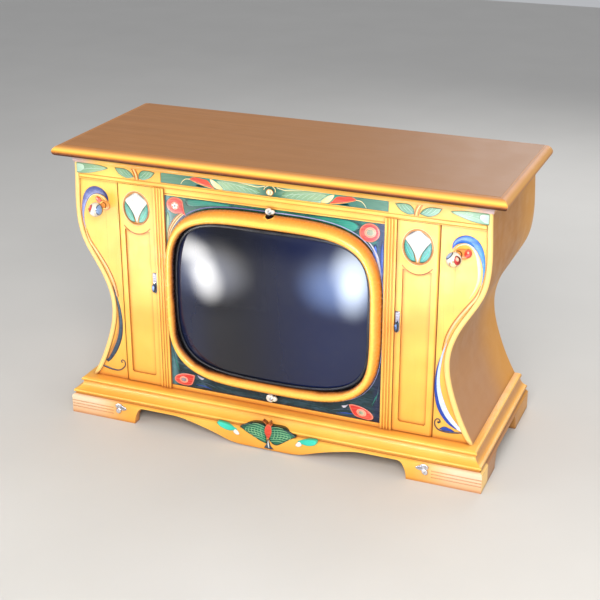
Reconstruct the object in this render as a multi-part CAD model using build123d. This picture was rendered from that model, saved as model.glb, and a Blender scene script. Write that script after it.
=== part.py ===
from build123d import *
import math
import os

# A 21-inch console tube television in a painted wooden cabinet.
# Millimetres. +X is the viewer's right, -Y is the front, +Z is up.
# The origin is the middle of the footprint, on the floor.

# ---- driving dimensions ------------------------------------------------------
TOP_HALF = 540.0          # half width of the top slab, the widest piece
BACK = 227.0              # rear face of the cabinet
FACE = -175.0             # front face of the doors
CLIP_FRONT = -227.0       # foremost point, on the metal leaves of the feet
FOOT_HALF = 525.0         # half width across the feet
FOOT_FRONT = -224.0       # front face of the feet
TOTAL_HEIGHT = 684.0

SLAB_BOTTOM = 659.0
BODY_TOP = 640.0
BODY_BOTTOM = 90.7
FRIEZE_BOTTOM = 602.0
RAIL_BOTTOM = 586.5
LOW_RAIL_TOP = 101.0
BASE_TOP = 50.0           # top of the foot boards

SIDE_THICK = 12.0
FIT = 0.25                # gap along a curved joint between fixed pieces

DOOR_INNER = 296.0        # free edge of a door, from the middle
DOOR_OUTER = 391.5        # hinge edge of a door
WING_INNER = 392.5
DOOR_BOTTOM = 92.0
DOOR_TOP = 600.5
DOOR_THICK = 19.0
HINGE_IN = 5.5            # pivot pin's distance from the door's front and edge
PIN_R = 2.5
RUN = 0.06                # radial running clearance

PILASTER_INNER = 268.4
PILASTER_OUTER = 295.4
PILASTER_FRONT = -179.0
REED_X = (275.0, 281.9, 288.8)       # grooves between the pilaster's reeds
FRIEZE_GROOVES = (604.5, 613.0)
FRIEZE_FIELD = (275.0, 615.5)        # half width and lower edge of the sunk field
RAIL_GROOVE = 590.5
FRAME_BACK = FACE + DOOR_THICK

SCREEN_Z = 352.0          # height of the middle of the screen
RING_HALF = (266.0, 221.0)
OPENING_HALF = (243.7, 190.8)
GLASS_HALF = (240.0, 187.0)
SIGHT_HALF = (230.0, 175.0)
RING_FRONT = -205.0
RING_ROUNDS = (9.5, 11.0)  # rounding of the ring's inner and outer front edge
SPANDREL_FRONT = -172.0
SPANDREL_THICK = 12.0
FACE_RADIUS = 900.0       # curvature of the glass faceplate
FACE_POLE = -208.0        # foremost point of the glass
TUBE_LENGTH = 367.0
SKIRT_BACK = -125.0       # where the faceplate's skirt meets the funnel
THROAT_Y = 30.0           # where the funnel meets the neck's cone
THROAT_R = 50.0
NECK_R = 14.5

KNOB_X = 432.0
KNOB_Z = 540.0
BALL_R = 17.0
BALL_Y = -208.0
SHAFT_R = 3.0
WING_FRONT = -172.0

BUTTON_TOP = (582.0, 12.0, 8.5)      # height, half length, half width
BUTTON_LOW = (117.0, 14.5, 11.0)
BUTTON_BACK = -178.6
BUTTON_THICK = 7.0

LATCH_X = 302.0
LATCH_Z = 352.0

TRAY_IN = 289.0
TRAY_OUT = 399.0
TRAY_BACK = -116.0
TRAY_WALL = 4.0
SWING_ROOM = 2.0          # the tray's ends stand back, clear of the door's turning edge
COMPARTMENT_X = 344.0

CHASSIS = (-236.0, 236.0, -10.0, 195.0)
CHASSIS_TOP = 136.0
SHEET = 1.5


# ---- small helpers -----------------------------------------------------------
def block(x0, x1, y0, y1, z0, z1):
    """A box between two corners."""
    return Pos((x0 + x1) / 2, (y0 + y1) / 2, (z0 + z1) / 2) * Box(x1 - x0, y1 - y0, z1 - z0)


def along_y(face_xz, y0, y1):
    """A face drawn in (x, z), carried from y0 back to y1."""
    return Pos(0, y1, 0) * extrude(Plane.XZ * face_xz, amount=y1 - y0)


def along_x(face_yz, x0, x1):
    """A face drawn in (y, z), carried from x0 to x1."""
    return Pos(x0, 0, 0) * extrude(Plane.YZ * face_yz, amount=x1 - x0)


def rod_y(x, z, radius, y0, y1):
    """A round rod along Y."""
    return along_y(Pos(x, z) * Circle(radius), y0, y1)


def rod_x(y, z, radius, x0, x1):
    """A round rod along X."""
    return along_x(Pos(y, z) * Circle(radius), x0, x1)


def rod_z(x, y, radius, z0, z1):
    """A round rod along Z."""
    return Pos(x, y, z0) * extrude(Circle(radius), amount=z1 - z0)


def polygon(points):
    return make_face(Polyline(*points, close=True))


def turned_y(points, x, z):
    """A turned solid about a line along Y: points are (radius, y)."""
    face = make_face(Polyline(*[(r, y, 0) for r, y in points], close=True))
    return Pos(x, 0, z) * revolve(face, Axis.Y)


def turned_z(points, x, y):
    """A turned solid about a line along Z: points are (radius, z)."""
    face = make_face(Polyline(*[(r, 0, z) for r, z in points], close=True))
    return Pos(x, y, 0) * revolve(face, Axis.Z)


def mirrored(solid):
    """The same piece on the other side of the cabinet."""
    return mirror(solid, about=Plane.YZ)


def squared_oval(half_w, half_h, power=5.0, count=48):
    """The screen's outline: a bowed rectangle with large round corners."""
    points = []
    for k in range(count):
        angle = 2 * math.pi * k / count
        c = abs(math.cos(angle)) / half_w
        s = abs(math.sin(angle)) / half_h
        reach = (c ** power + s ** power) ** (-1 / power)
        points.append((reach * math.cos(angle), reach * math.sin(angle) + SCREEN_Z))
    return make_face(Spline(*points, periodic=True))


def grouped(shapes):
    """Several separate solids kept as one node."""
    return Compound(children=[s for shape in shapes for s in shape.solids()])


# ---- the serpentine side -----------------------------------------------------
# (half width, height) from the top down: bulge, waist and flared bottom.
SIDE_LINE = [(502.0, BODY_TOP), (506.5, 535.0), (497.0, 459.0), (451.5, 374.0),
             (424.5, 288.0), (446.5, 180.0), (487.5, BODY_BOTTOM)]


def side_curve():
    return Spline(*SIDE_LINE, tangents=[(0.02, -1), (0.55, -1)])


def offset_points(distance, count=16):
    """Points on the side line moved inward by a distance."""
    curve = side_curve()
    points = []
    for k in range(count + 1):
        place = curve @ (k / count)
        heading = curve % (k / count)
        points.append((place.X + heading.Y * distance, place.Y - heading.X * distance))
    points[0] = (points[0][0], BODY_TOP)
    points[-1] = (points[-1][0], BODY_BOTTOM)
    return points


def side_panel():
    """Bent side of the cabinet, on the right, with eased front edges."""
    outer = side_curve()
    inner = Spline(*offset_points(SIDE_THICK))
    top = Line(outer @ 0, inner @ 0)
    bottom = Line(outer @ 1, inner @ 1)
    panel = along_y(make_face([outer, top, inner, bottom]), FACE - 1.5, BACK)
    edges = [e for e in panel.edges() if e.length > 300 and e.center().Y < FACE]
    return fillet(edges, 4.0)


def between_sides(y0, y1, z0, z1, gap=FIT):
    """The room between the two side panels, as a solid."""
    points = offset_points(SIDE_THICK + gap)
    right = Spline(*points)
    left = Spline(*[(-x, z) for x, z in points])
    top = Line(points[0], (-points[0][0], points[0][1]))
    bottom = Line(points[-1], (-points[-1][0], points[-1][1]))
    room = along_y(make_face([right, top, left, bottom]), y0, y1)
    return room & block(-TOP_HALF, TOP_HALF, y0 - 1, y1 + 1, z0, z1)


# ---- top ---------------------------------------------------------------------
TOP_SHIFT = TOP_HALF - 212.0


def bullnose_edges():
    """Edge of the top slab, from underneath to the flat top: (outward, z)."""
    low = ThreePointArc((529, SLAB_BOTTOM), (537.2, 662.3), (TOP_HALF, 670.5))
    high = ThreePointArc((TOP_HALF, 670.5), (535.2, 679.0), (521.0, 683.1))
    crease = Line((521.0, 683.1), (519.0, TOTAL_HEIGHT))
    return [low, high, crease]


def cove_edges():
    """Edge of the moulding under the slab: (outward, z)."""
    foot = Line((504.5, BODY_TOP), (504.5, 641.5))
    cove = ThreePointArc((504.5, 641.5), (509.6, 653.9), (522.0, 659.0 - 1.5))
    lip = Line((522.0, SLAB_BOTTOM - 1.5), (522.0, SLAB_BOTTOM))
    return [foot, cove, lip]


def plinth_edges():
    """Edge of the plinth moulding, from underneath to the top: (outward, z)."""
    return [
        Line((517.5, BASE_TOP), (517.5, 54.0)),
        Line((517.5, 54.0), (519.5, 55.0)),
        ThreePointArc((519.5, 55.0), (521.5, 58.0), (519.5, 61.5)),
        ThreePointArc((519.5, 61.5), (507.5, 68.0), (502.0, 81.5)),
        Line((502.0, 81.5), (505.0, 82.5)),
        ThreePointArc((505.0, 82.5), (506.0, 86.0), (503.0, 89.5)),
        Line((503.0, 89.5), (500.0, BODY_BOTTOM)),
    ]


def base_edges():
    """Edge of the foot boards: (outward, z)."""
    return [Line((FOOT_HALF, 0), (FOOT_HALF, 45.5)), Line((FOOT_HALF, 45.5), (519.5, BASE_TOP))]


def run_round(edges, shift, inside=0, back_wall=-1):
    """Run an edge along the front and both sides, with true mitred corners.

    shift is how much less the front stands out from the middle than the sides do.
    inside is the half width of the cavity, or 0 for a solid board, and back_wall is
    how thick the cavity's rear wall is, with a negative number for an open back.
    """
    start = edges[0] @ 0
    end = edges[-1] @ 1
    right = edges
    left = [mirror(e, about=Plane.YZ) for e in edges]
    bottom = Line((-start.X, start.Y), (start.X, start.Y))
    top = Line((-end.X, end.Y), (end.X, end.Y))
    across = along_y(make_face([*right, *left, bottom, top]), -400, BACK)
    far = -400
    back_bottom = Line((far, start.Y), (start.X, start.Y))
    far_wall = Line((far, start.Y), (far, end.Y))
    back_top = Line((far, end.Y), (end.X, end.Y))
    profile = make_face([*edges, back_bottom, far_wall, back_top])
    front = Pos(0, shift, 0) * mirror(along_x(profile, -600, 600), about=Plane.XZ)
    solid = across & front
    if inside:
        cavity_back = BACK - back_wall
        solid -= block(-inside, inside, shift - inside, cavity_back, start.Y - 1, end.Y + 1)
    return solid


def front_wedge(shift):
    """Everything that belongs to the front stick of a mitred frame."""
    far = 600.0
    points = [(-shift, 0), (-far, shift - far), (-far, -far), (far, -far), (far, shift - far), (shift, 0)]
    return Pos(0, 0, -10) * extrude(polygon(points), amount=TOTAL_HEIGHT + 20)


def top_slab():
    return run_round(bullnose_edges(), TOP_SHIFT)


def top_cove_moulding():
    return run_round(cove_edges(), TOP_SHIFT, 470.0, 20.0)


# ---- plinth ------------------------------------------------------------------
PLINTH_SHIFT = FOOT_HALF + FOOT_FRONT
PLINTH_INSIDE = 470.0
BASE_INSIDE = 503.0
ARCH_TOP = 44.3
ARCH_ROUND = 25.0
FRONT_ARCH = 349.0
SIDE_ARCH = 102.0
OGEE = [(248.0, ARCH_TOP), (194.0, 36.7), (125.0, 17.8), (52.0, 2.6)]   # apron's lower edge
FOOT_REEDS = (17.0, 25.0, 33.0)
FOOT_REED_START = 408.0


def plinth_moulding():
    """Three mitred sticks of stepped moulding under the body."""
    frame = run_round(plinth_edges(), PLINTH_SHIFT, PLINTH_INSIDE)
    wedge = front_wedge(PLINTH_SHIFT)
    return grouped([frame & wedge, frame - wedge])


def arch_corner(reach, sign):
    """Quarter round from the floor up to the arch."""
    foot = (sign * reach, 0)
    crown = (sign * (reach - ARCH_ROUND), ARCH_TOP)
    half = math.sqrt(0.5)
    middle = (sign * (reach - ARCH_ROUND + ARCH_ROUND * half), ARCH_TOP * half)
    return Spline(foot, middle, crown, tangents=[(0, 1), (-sign, 0)])


def ogee(sign):
    """Shaped lower edge from the arch down to the middle drop."""
    line = [(sign * x, z) for x, z in OGEE]
    return Spline(*line, tangents=[(-sign, 0), (-sign, 0)])


def front_cutout():
    """The open air under the front board."""
    edges = [
        Line((-FRONT_ARCH, 0), (-FRONT_ARCH, -5)),
        Line((-FRONT_ARCH, -5), (FRONT_ARCH, -5)),
        Line((FRONT_ARCH, -5), (FRONT_ARCH, 0)),
        arch_corner(FRONT_ARCH, 1),
        Line((FRONT_ARCH - ARCH_ROUND, ARCH_TOP), OGEE[0]),
        ogee(1),
        Line(OGEE[-1], (-OGEE[-1][0], OGEE[-1][1])),
        ogee(-1),
        Line((-OGEE[0][0], ARCH_TOP), (ARCH_ROUND - FRONT_ARCH, ARCH_TOP)),
        arch_corner(FRONT_ARCH, -1),
    ]
    return along_y(make_face(edges), FOOT_FRONT - 5, FOOT_FRONT + 40)


def side_cutout():
    """The open air under the side boards and the back board, drawn in (across, z)."""
    edges = [
        Line((-SIDE_ARCH, 0), (-SIDE_ARCH, -5)),
        Line((-SIDE_ARCH, -5), (SIDE_ARCH, -5)),
        Line((SIDE_ARCH, -5), (SIDE_ARCH, 0)),
        arch_corner(SIDE_ARCH, 1),
        Line((SIDE_ARCH - ARCH_ROUND, ARCH_TOP), (ARCH_ROUND - SIDE_ARCH, ARCH_TOP)),
        arch_corner(SIDE_ARCH, -1),
    ]
    return along_x(make_face(edges), -FOOT_HALF - 5, FOOT_HALF + 5)


def plinth_boards():
    """Front board with its shaped apron, and the two side boards."""
    frame = run_round(base_edges(), PLINTH_SHIFT, BASE_INSIDE)
    wedge = front_wedge(PLINTH_SHIFT)
    front = (frame & wedge) - front_cutout()
    for side in (-1, 1):
        for level in FOOT_REEDS:
            reed = rod_x(FOOT_FRONT - 0.3, level, 1.5, FOOT_REED_START, FOOT_HALF + 1)
            front -= reed if side > 0 else mirrored(reed)
    sides = (frame - wedge) - side_cutout()
    right = sides & block(400, 600, -300, 300, -1, 60)
    return front, mirrored(right), right


def plinth_back_board():
    board = block(-BASE_INSIDE, BASE_INSIDE, BACK - 20, BACK, 0, 50)
    reach = 400.0
    edges = [
        Line((-reach, -1), (reach, -1)),
        Line((reach, -1), (reach, ARCH_TOP - 12)),
        Line((reach, ARCH_TOP - 12), (reach - 12, ARCH_TOP)),
        Line((reach - 12, ARCH_TOP), (12 - reach, ARCH_TOP)),
        Line((12 - reach, ARCH_TOP), (-reach, ARCH_TOP - 12)),
        Line((-reach, ARCH_TOP - 12), (-reach, -1)),
    ]
    return board - along_y(make_face(edges), BACK - 30, BACK + 10)


def bottom_board():
    front = PLINTH_SHIFT - PLINTH_INSIDE
    board = block(-PLINTH_INSIDE, PLINTH_INSIDE, front, BACK, 72.7, BODY_BOTTOM)
    rib = block(-PLINTH_INSIDE, PLINTH_INSIDE, BACK - 20, BACK, BASE_TOP, 72.7)
    return board + rib


def foot_clips():
    """Cast three-lobed leaves on the front feet."""
    leaves = []
    for x, z, long, wide, turn in ((380, 36, 9, 5, 20), (392, 38, 9, 6, -20), (392, 29, 5, 7.5, 15)):
        leaves.append(Pos(x, z) * Rot(0, 0, turn) * Ellipse(long, wide))
    leaf = along_y(leaves[0] + leaves[1] + leaves[2], CLIP_FRONT, FOOT_FRONT)
    return grouped([leaf, mirrored(leaf)])


# ---- front frame -------------------------------------------------------------
def frieze_board():
    board = between_sides(FACE - 1, FRAME_BACK, FRIEZE_BOTTOM, BODY_TOP)
    half, low = FRIEZE_FIELD
    board -= block(-half, half, FACE - 5, FACE + 0.4, low, BODY_TOP + 1)
    for level in FRIEZE_GROOVES:
        board -= rod_x(FACE - 1.2, level, 1.3, -520, 520)
    return board


def upper_rail():
    rail = block(-PILASTER_INNER + FIT, PILASTER_INNER - FIT, FACE, FRAME_BACK, RAIL_BOTTOM, FRIEZE_BOTTOM)
    return rail - rod_x(FACE, RAIL_GROOVE, 1.2, -300, 300)


def lower_rail():
    return block(-PILASTER_INNER + FIT, PILASTER_INNER - FIT, FACE, FRAME_BACK, BODY_BOTTOM, LOW_RAIL_TOP)


def wing_panel():
    """Fixed front panel between the right door and the serpentine side."""
    panel = between_sides(WING_FRONT, FRAME_BACK, BODY_BOTTOM, FRIEZE_BOTTOM)
    panel = panel & block(WING_INNER, 600, -300, 0, 0, 700)
    return panel - rod_y(KNOB_X, KNOB_Z, 5.05, WING_FRONT - 1, 0)


def pilaster():
    """Reeded upright beside the screen."""
    post = block(PILASTER_INNER, PILASTER_OUTER, PILASTER_FRONT, FRAME_BACK, BODY_BOTTOM, FRIEZE_BOTTOM)
    for x in REED_X:
        post -= rod_z(x, PILASTER_FRONT - 0.4, 1.9, BODY_BOTTOM - 1, FRIEZE_BOTTOM + 1)
    return post


def spandrel_panel():
    inside = PILASTER_INNER - FIT
    plate = block(-inside, inside, SPANDREL_FRONT, SPANDREL_FRONT + SPANDREL_THICK, LOW_RAIL_TOP, RAIL_BOTTOM)
    plate -= along_y(squared_oval(*OPENING_HALF), SPANDREL_FRONT - 1, 0)
    for height in (BUTTON_TOP[0], BUTTON_LOW[0]):
        plate -= rod_y(0, height, 2.05, SPANDREL_FRONT - 1, 0)
    return plate


# ---- screen ------------------------------------------------------------------
def bezel_ring():
    """Thick rounded wooden ring round the screen."""
    ring = along_y(squared_oval(*RING_HALF), RING_FRONT, SPANDREL_FRONT)
    ring -= along_y(squared_oval(*OPENING_HALF), RING_FRONT - 1, 0)
    front = [e for e in ring.edges() if e.center().Y < RING_FRONT + 0.5]
    front.sort(key=lambda e: e.length)
    ring = fillet([front[0]], RING_ROUNDS[0])
    front = [e for e in ring.edges() if e.center().Y < RING_FRONT + 0.5]
    front.sort(key=lambda e: e.length)
    ring = fillet([front[-1]], RING_ROUNDS[1])
    for height, half_long, _ in (BUTTON_TOP, BUTTON_LOW):
        ring -= rod_y(0, height, half_long + 1.0, RING_FRONT - 1, BUTTON_BACK + 0.6)
    return ring


def face_sphere(radius):
    return Pos(0, FACE_POLE + FACE_RADIUS, SCREEN_Z) * Sphere(radius)


def tube_mask():
    """Dark pressed mask that closes the gap between glass and ring."""
    ring = along_y(squared_oval(OPENING_HALF[0] - 0.3, OPENING_HALF[1] - 0.3), -230, -120)
    ring -= along_y(squared_oval(*SIGHT_HALF), -240, 0)
    return (ring & face_sphere(FACE_RADIUS + 5.0)) - face_sphere(FACE_RADIUS + 0.4)


def bulb(shrink, front_inset, back):
    """Faceplate, funnel and neck as one solid, smaller all round by shrink."""
    rim = (GLASS_HALF[0] - shrink, GLASS_HALF[1] - shrink)
    neck = NECK_R - shrink * 0.4
    throat = THROAT_R - shrink
    stations = [
        (-230.0, *rim, 5.0),
        (SKIRT_BACK, *rim, 5.0),
        (THROAT_Y, throat, throat, 2.0),
        (THROAT_Y + 30, neck, neck, 2.0),
        (back, neck, neck, 2.0),
    ]
    sections = [Pos(0, y, 0) * (Plane.XZ * squared_oval(w, h, power)) for y, w, h, power in stations]
    return loft(sections, ruled=True) & face_sphere(FACE_RADIUS - front_inset)


def picture_tube():
    back = FACE_POLE + TUBE_LENGTH
    return bulb(0, 0, back) - bulb(6.0, 10.0, back - 4.0)


def four_corners(x0, x1, z0, z1, y0, y1):
    """The same block at the four corners of the screen."""
    blocks = []
    for side in (-1, 1):
        for z in (SCREEN_Z + z0, SCREEN_Z - z1):
            low, high = sorted((side * x0, side * x1))
            blocks.append(block(low, high, y0, y1, z, z + z1 - z0))
    return blocks


def tube_strap():
    """Steel band round the rim of the tube, with four fixing lugs."""
    band = along_y(squared_oval(GLASS_HALF[0] + 2.6, GLASS_HALF[1] + 2.6), -150, -130)
    for lug in four_corners(204, 250, 160, 204, -150, -147.5):
        band += lug
    return band - along_y(squared_oval(GLASS_HALF[0] + 0.3, GLASS_HALF[1] + 0.3), -160, -100)


def inner_battens():
    """Blocks that carry the tube's lugs, and the rails for the back cover."""
    blocks = four_corners(232, 256, 182, 208, SPANDREL_FRONT + SPANDREL_THICK, -150)
    y1 = COVER_BACK - COVER_THICK
    top = between_sides(y1 - 18, y1, BODY_TOP - 30, BODY_TOP - 0.5, 0.6)
    low = between_sides(y1 - 18, y1, BODY_BOTTOM, BODY_BOTTOM + 22, 0.6)
    return grouped([*blocks, top, low])


LEAD_ROUTE = [(0, -33, 472), (0, -10, 500), (-90, 10, 505), (-172, 60, 430), (-172, 60, 236)]


def deflection_yoke():
    outline = [(53, 33), (16, 64), (15.2, 65), (15.2, 98), (40, 98), (46, 80), (62, 46), (66, 33)]
    return turned_y(outline, 0, SCREEN_Z)


def tube_socket():
    end = FACE_POLE + TUBE_LENGTH
    return turned_y([(0, end), (19, end), (19, end + 14), (0, end + 14)], 0, SCREEN_Z)


def anode_lead():
    """Rubber cap on top of the funnel, and its lead down to the line output cage."""
    tilt = 41.5
    cap = Pos(0, -37, SCREEN_Z + 115.6) * Rot(-tilt, 0, 0) * Cylinder(14, 6)
    path = FilletPolyline(LEAD_ROUTE, radius=24)
    section = Plane(origin=path @ 0, z_dir=path % 0) * Circle(2.5)
    return grouped([cap, sweep(section, path=path)])


# ---- porcelain turn-buttons --------------------------------------------------
def turn_button(place):
    height, half_long, half_wide = place
    body = along_y(Pos(0, height) * Ellipse(half_long, half_wide), BUTTON_BACK - BUTTON_THICK, BUTTON_BACK)
    front = [e for e in body.edges() if e.center().Y < BUTTON_BACK - BUTTON_THICK + 0.5]
    body = fillet(front, 3.0)
    return body - rod_y(0, height, 2.0 + RUN, -300, 0)


def turn_button_screws():
    screws = []
    for height in (BUTTON_TOP[0], BUTTON_LOW[0]):
        head = BUTTON_BACK - BUTTON_THICK - 0.2
        outline = [(0, head - 2.6), (2.2, head - 2.2), (4.2, head - 0.6), (4.2, head), (2.0, head),
                   (2.0, -160), (0, -160)]
        screws.append(turned_y(outline, 0, height))
    return grouped(screws)


# ---- doors -------------------------------------------------------------------
PANEL_X = (310.0, 376.0)  # long sunk panel of the right door
PANEL_Z = (116.0, 490.0)
PANEL_DEPTH = 4.0
PANEL_CUT = 4.0           # cut lower corners of the panel
OVAL = (343.0, 544.0)     # middle of the oval field
OVAL_HALF = (31.5, 37.5)
OVAL_DEPTH = 1.5
SCALLOP_HALF = (48.0, 62.0)  # the panel's top follows this larger oval


def door():
    """Right door with its long sunk panel and the oval field above it."""
    slab = block(DOOR_INNER, DOOR_OUTER, FACE, FRAME_BACK, DOOR_BOTTOM, DOOR_TOP)
    hinge_edge = [e for e in slab.edges() if abs(e.center().X - DOOR_OUTER) < 0.1
                  and abs(e.center().Y - FACE) < 0.1 and e.length > 300]
    slab = fillet(hinge_edge, HINGE_IN - 0.1)
    x0, x1 = PANEL_X
    z0, z1 = PANEL_Z
    panel = polygon([(x0, z0 + PANEL_CUT), (x0 + PANEL_CUT, z0), (x1 - PANEL_CUT, z0), (x1, z0 + PANEL_CUT),
                     (x1, z1), (x0, z1)])
    panel -= Pos(*OVAL) * Ellipse(*SCALLOP_HALF)
    slab -= along_y(panel, FACE - 1, FACE + PANEL_DEPTH)
    slab -= along_y(Pos(*OVAL) * Ellipse(*OVAL_HALF), FACE - 1, FACE + OVAL_DEPTH)
    for low, high in ((DOOR_BOTTOM - 1, 105.0), (587.0, DOOR_TOP + 1)):
        slab -= rod_z(DOOR_OUTER - HINGE_IN, FACE + HINGE_IN, PIN_R + RUN, low, high)
    return slab - rod_y(LATCH_X, LATCH_Z, 2.0 + RUN, FACE - 1, FACE + 9)


def door_pivots():
    """Brass pivot plates with their pins, above and below each door."""
    x = DOOR_OUTER - HINGE_IN
    y = FACE + HINGE_IN
    low = rod_z(x, y, 4.8, BODY_BOTTOM, BODY_BOTTOM + 1) + rod_z(x, y, PIN_R, BODY_BOTTOM, 104)
    high = rod_z(x, y, 4.8, FRIEZE_BOTTOM - 1, FRIEZE_BOTTOM) + rod_z(x, y, PIN_R, 588, FRIEZE_BOTTOM)
    return grouped([low, high, mirrored(low), mirrored(high)])


def latch_plate():
    """Nickel escutcheon with a pointed lower end."""
    outline = polygon([(296.6, 388), (307.4, 388), (307.4, 341), (302, 335), (296.6, 341)])
    return along_y(outline, FACE - 2, FACE) - rod_y(LATCH_X, LATCH_Z, 2.0 + RUN, -200, 0)


def latch_turn():
    """Thumb-turn with its spindle."""
    spindle = rod_y(LATCH_X, LATCH_Z, 2.0, -181.0, FACE + 8)
    hub = rod_y(LATCH_X, LATCH_Z, 4.2, -181.0, FACE - 2.2)
    wing = along_y(Pos(LATCH_X, LATCH_Z) * Ellipse(4.5, 11.0), -186.0, -180.5)
    return spindle + hub + wing


# ---- knobs and what they turn --------------------------------------------------
def ball_knob():
    """Porcelain ball on a tapered wooden stem."""
    root = WING_FRONT - 2.8
    outline = [(0, root), (6.0, root), (7.5, -186), (9.5, -196), (9.5, -200), (0, -200)]
    stem = turned_y(outline, KNOB_X, KNOB_Z)
    ball = Pos(KNOB_X, BALL_Y, KNOB_Z) * Sphere(BALL_R)
    return stem + ball - rod_y(KNOB_X, KNOB_Z, SHAFT_R, -206, 0)


def knob_shaft():
    return rod_y(KNOB_X, KNOB_Z, SHAFT_R, -206, -142)


def knob_bushings():
    bush = rod_y(KNOB_X, KNOB_Z, 5.0, WING_FRONT - 2, -150)
    bush += rod_y(KNOB_X, KNOB_Z, 9.0, WING_FRONT - 2, WING_FRONT)
    bush -= rod_y(KNOB_X, KNOB_Z, SHAFT_R + RUN, -200, 0)
    return grouped([bush, mirrored(bush)])


def pot(x, z, front):
    """Small rotary control with a blind bore for its shaft."""
    case = rod_y(x, z, 14.0, front, front + 18)
    return case - rod_y(x, z, SHAFT_R + RUN, front - 1, front + 12)


def tuner_unit():
    case = block(KNOB_X - 32, KNOB_X + 32, -149.6, -30, KNOB_Z - 40, KNOB_Z + 34)
    return case - rod_y(KNOB_X, KNOB_Z, SHAFT_R + RUN, -160, -136)


SERVICE_LEVELS = {"upper": 470.0, "middle": 400.0, "lower": 330.0}


def compartment_tray():
    """Five-walled recess behind the right door."""
    tray = block(TRAY_IN, TRAY_OUT, FRAME_BACK, TRAY_BACK, BODY_BOTTOM, FRIEZE_BOTTOM)
    floor = BODY_BOTTOM + TRAY_WALL
    ceiling = FRIEZE_BOTTOM - TRAY_WALL
    front = FRAME_BACK - 1
    x0 = TRAY_IN + TRAY_WALL
    x1 = TRAY_OUT - TRAY_WALL
    tray -= block(x0, x1, front, TRAY_BACK - TRAY_WALL, floor, ceiling)
    return tray - block(x0, x1, front, FRAME_BACK + SWING_ROOM, BODY_BOTTOM - 1, FRIEZE_BOTTOM + 1)


def control_box():
    box = mirrored(compartment_tray())
    for level in SERVICE_LEVELS.values():
        box -= rod_y(-COMPARTMENT_X, level, SHAFT_R + RUN, -130, 0)
    return box


def service_knob(level):
    """Fluted service knob with its spindle."""
    front = TRAY_BACK - TRAY_WALL
    body = turned_y([(0, front - 17), (9.0, front - 17), (10.0, front - 16), (11.0, front - 4),
                     (12.5, front - 3), (12.5, front - 0.6), (0, front - 0.6)], -COMPARTMENT_X, level)
    for k in range(16):
        angle = 2 * math.pi * k / 16
        flute_x = -COMPARTMENT_X + 11.3 * math.cos(angle)
        flute_z = level + 11.3 * math.sin(angle)
        body -= rod_y(flute_x, flute_z, 1.3, front - 18, front - 4)
    return body + rod_y(-COMPARTMENT_X, level, SHAFT_R, front - 1, TRAY_BACK + 10)


def potentiometers():
    cases = [pot(-COMPARTMENT_X, level, TRAY_BACK + 0.5) for level in SERVICE_LEVELS.values()]
    cases.append(pot(-KNOB_X, KNOB_Z, -149.5))
    return grouped(cases)


SPEAKER_Z = 400.0
SPEAKER_HALF = (42.0, 112.0)


def speaker_box():
    hole = along_y(Pos(COMPARTMENT_X, SPEAKER_Z) * Ellipse(SPEAKER_HALF[0] - 6, SPEAKER_HALF[1] - 6), -130, 0)
    return compartment_tray() - hole


def speaker_cloth():
    front = TRAY_BACK - TRAY_WALL
    inset = TRAY_WALL + 0.5
    return block(TRAY_IN + inset, TRAY_OUT - inset, front - 3, front,
                 BODY_BOTTOM + inset, FRIEZE_BOTTOM - inset)


def loudspeaker():
    """Oval chassis, cone housing and magnet."""
    rim = along_y(Pos(COMPARTMENT_X, SPEAKER_Z) * Ellipse(*SPEAKER_HALF), TRAY_BACK, TRAY_BACK + 3)
    wide = Pos(0, TRAY_BACK + 3, 0) * (Plane.XZ * (Pos(COMPARTMENT_X, SPEAKER_Z) * Ellipse(38, 106)))
    narrow = Pos(0, TRAY_BACK + 40, 0) * (Plane.XZ * (Pos(COMPARTMENT_X, SPEAKER_Z) * Ellipse(24, 30)))
    magnet = rod_y(COMPARTMENT_X, SPEAKER_Z, 22, TRAY_BACK + 40, TRAY_BACK + 62)
    return rim + loft([wide, narrow]) + magnet


# ---- chassis -----------------------------------------------------------------
def chassis_pan():
    x0, x1, y0, y1 = CHASSIS
    pan = block(x0, x1, y0, y1, BODY_BOTTOM, CHASSIS_TOP)
    return pan - block(x0 + SHEET, x1 - SHEET, y0 + SHEET, y1 - SHEET, BODY_BOTTOM - 1, CHASSIS_TOP - SHEET)


def valves():
    """Glass valves in their sockets, in two rows."""
    glasses = []
    for row, y in enumerate((40.0, 110.0)):
        for k in range(4):
            x = -85 + 48.0 * k + 14.0 * row
            r = 11.0 if (k + row) % 2 else 9.5
            h = 62.0 if (k + row) % 2 else 50.0
            z = CHASSIS_TOP
            outline = [(0, z), (r + 2, z), (r + 2, z + 7), (r, z + 8), (r, z + h - 8), (r * 0.7, z + h - 2),
                       (0, z + h)]
            glasses.append(turned_z(outline, x, y))
    return grouped(glasses)


def power_transformer():
    x, y, z = 178.0, 60.0, CHASSIS_TOP
    core = block(x - 38, x + 38, y - 22, y + 22, z, z + 70)
    winding = block(x - 22, x + 22, y - 36, y + 36, z + 12, z + 58)
    return core + winding


def filter_capacitors():
    cans = []
    for x, y, r, h in ((140, 150, 15, 82), (178, 150, 15, 82), (214, 150, 12, 64)):
        z = CHASSIS_TOP
        cans.append(turned_z([(0, z), (r, z), (r, z + h - 2), (r - 2, z + h), (0, z + h)], x, y))
    return grouped(cans)


def flyback_cage():
    """Perforated screening cage over the line output stage."""
    x, y, z = -175.0, 75.0, CHASSIS_TOP
    shell = block(x - 45, x + 45, y - 48, y + 48, z, z + 100)
    shell -= block(x - 43.8, x + 43.8, y - 46.8, y + 46.8, z - 1, z + 98.8)
    for k in range(6):
        for m in range(6):
            shell -= rod_y(x - 32.5 + 13 * k, z + 20 + 12 * m, 3.0, y + 40, y + 60)
    return shell


# ---- back --------------------------------------------------------------------
COVER_BACK = 224.0
COVER_THICK = 4.0
INLET = (-250.0, 160.0)
AERIAL = (250.0, 210.0)


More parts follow.
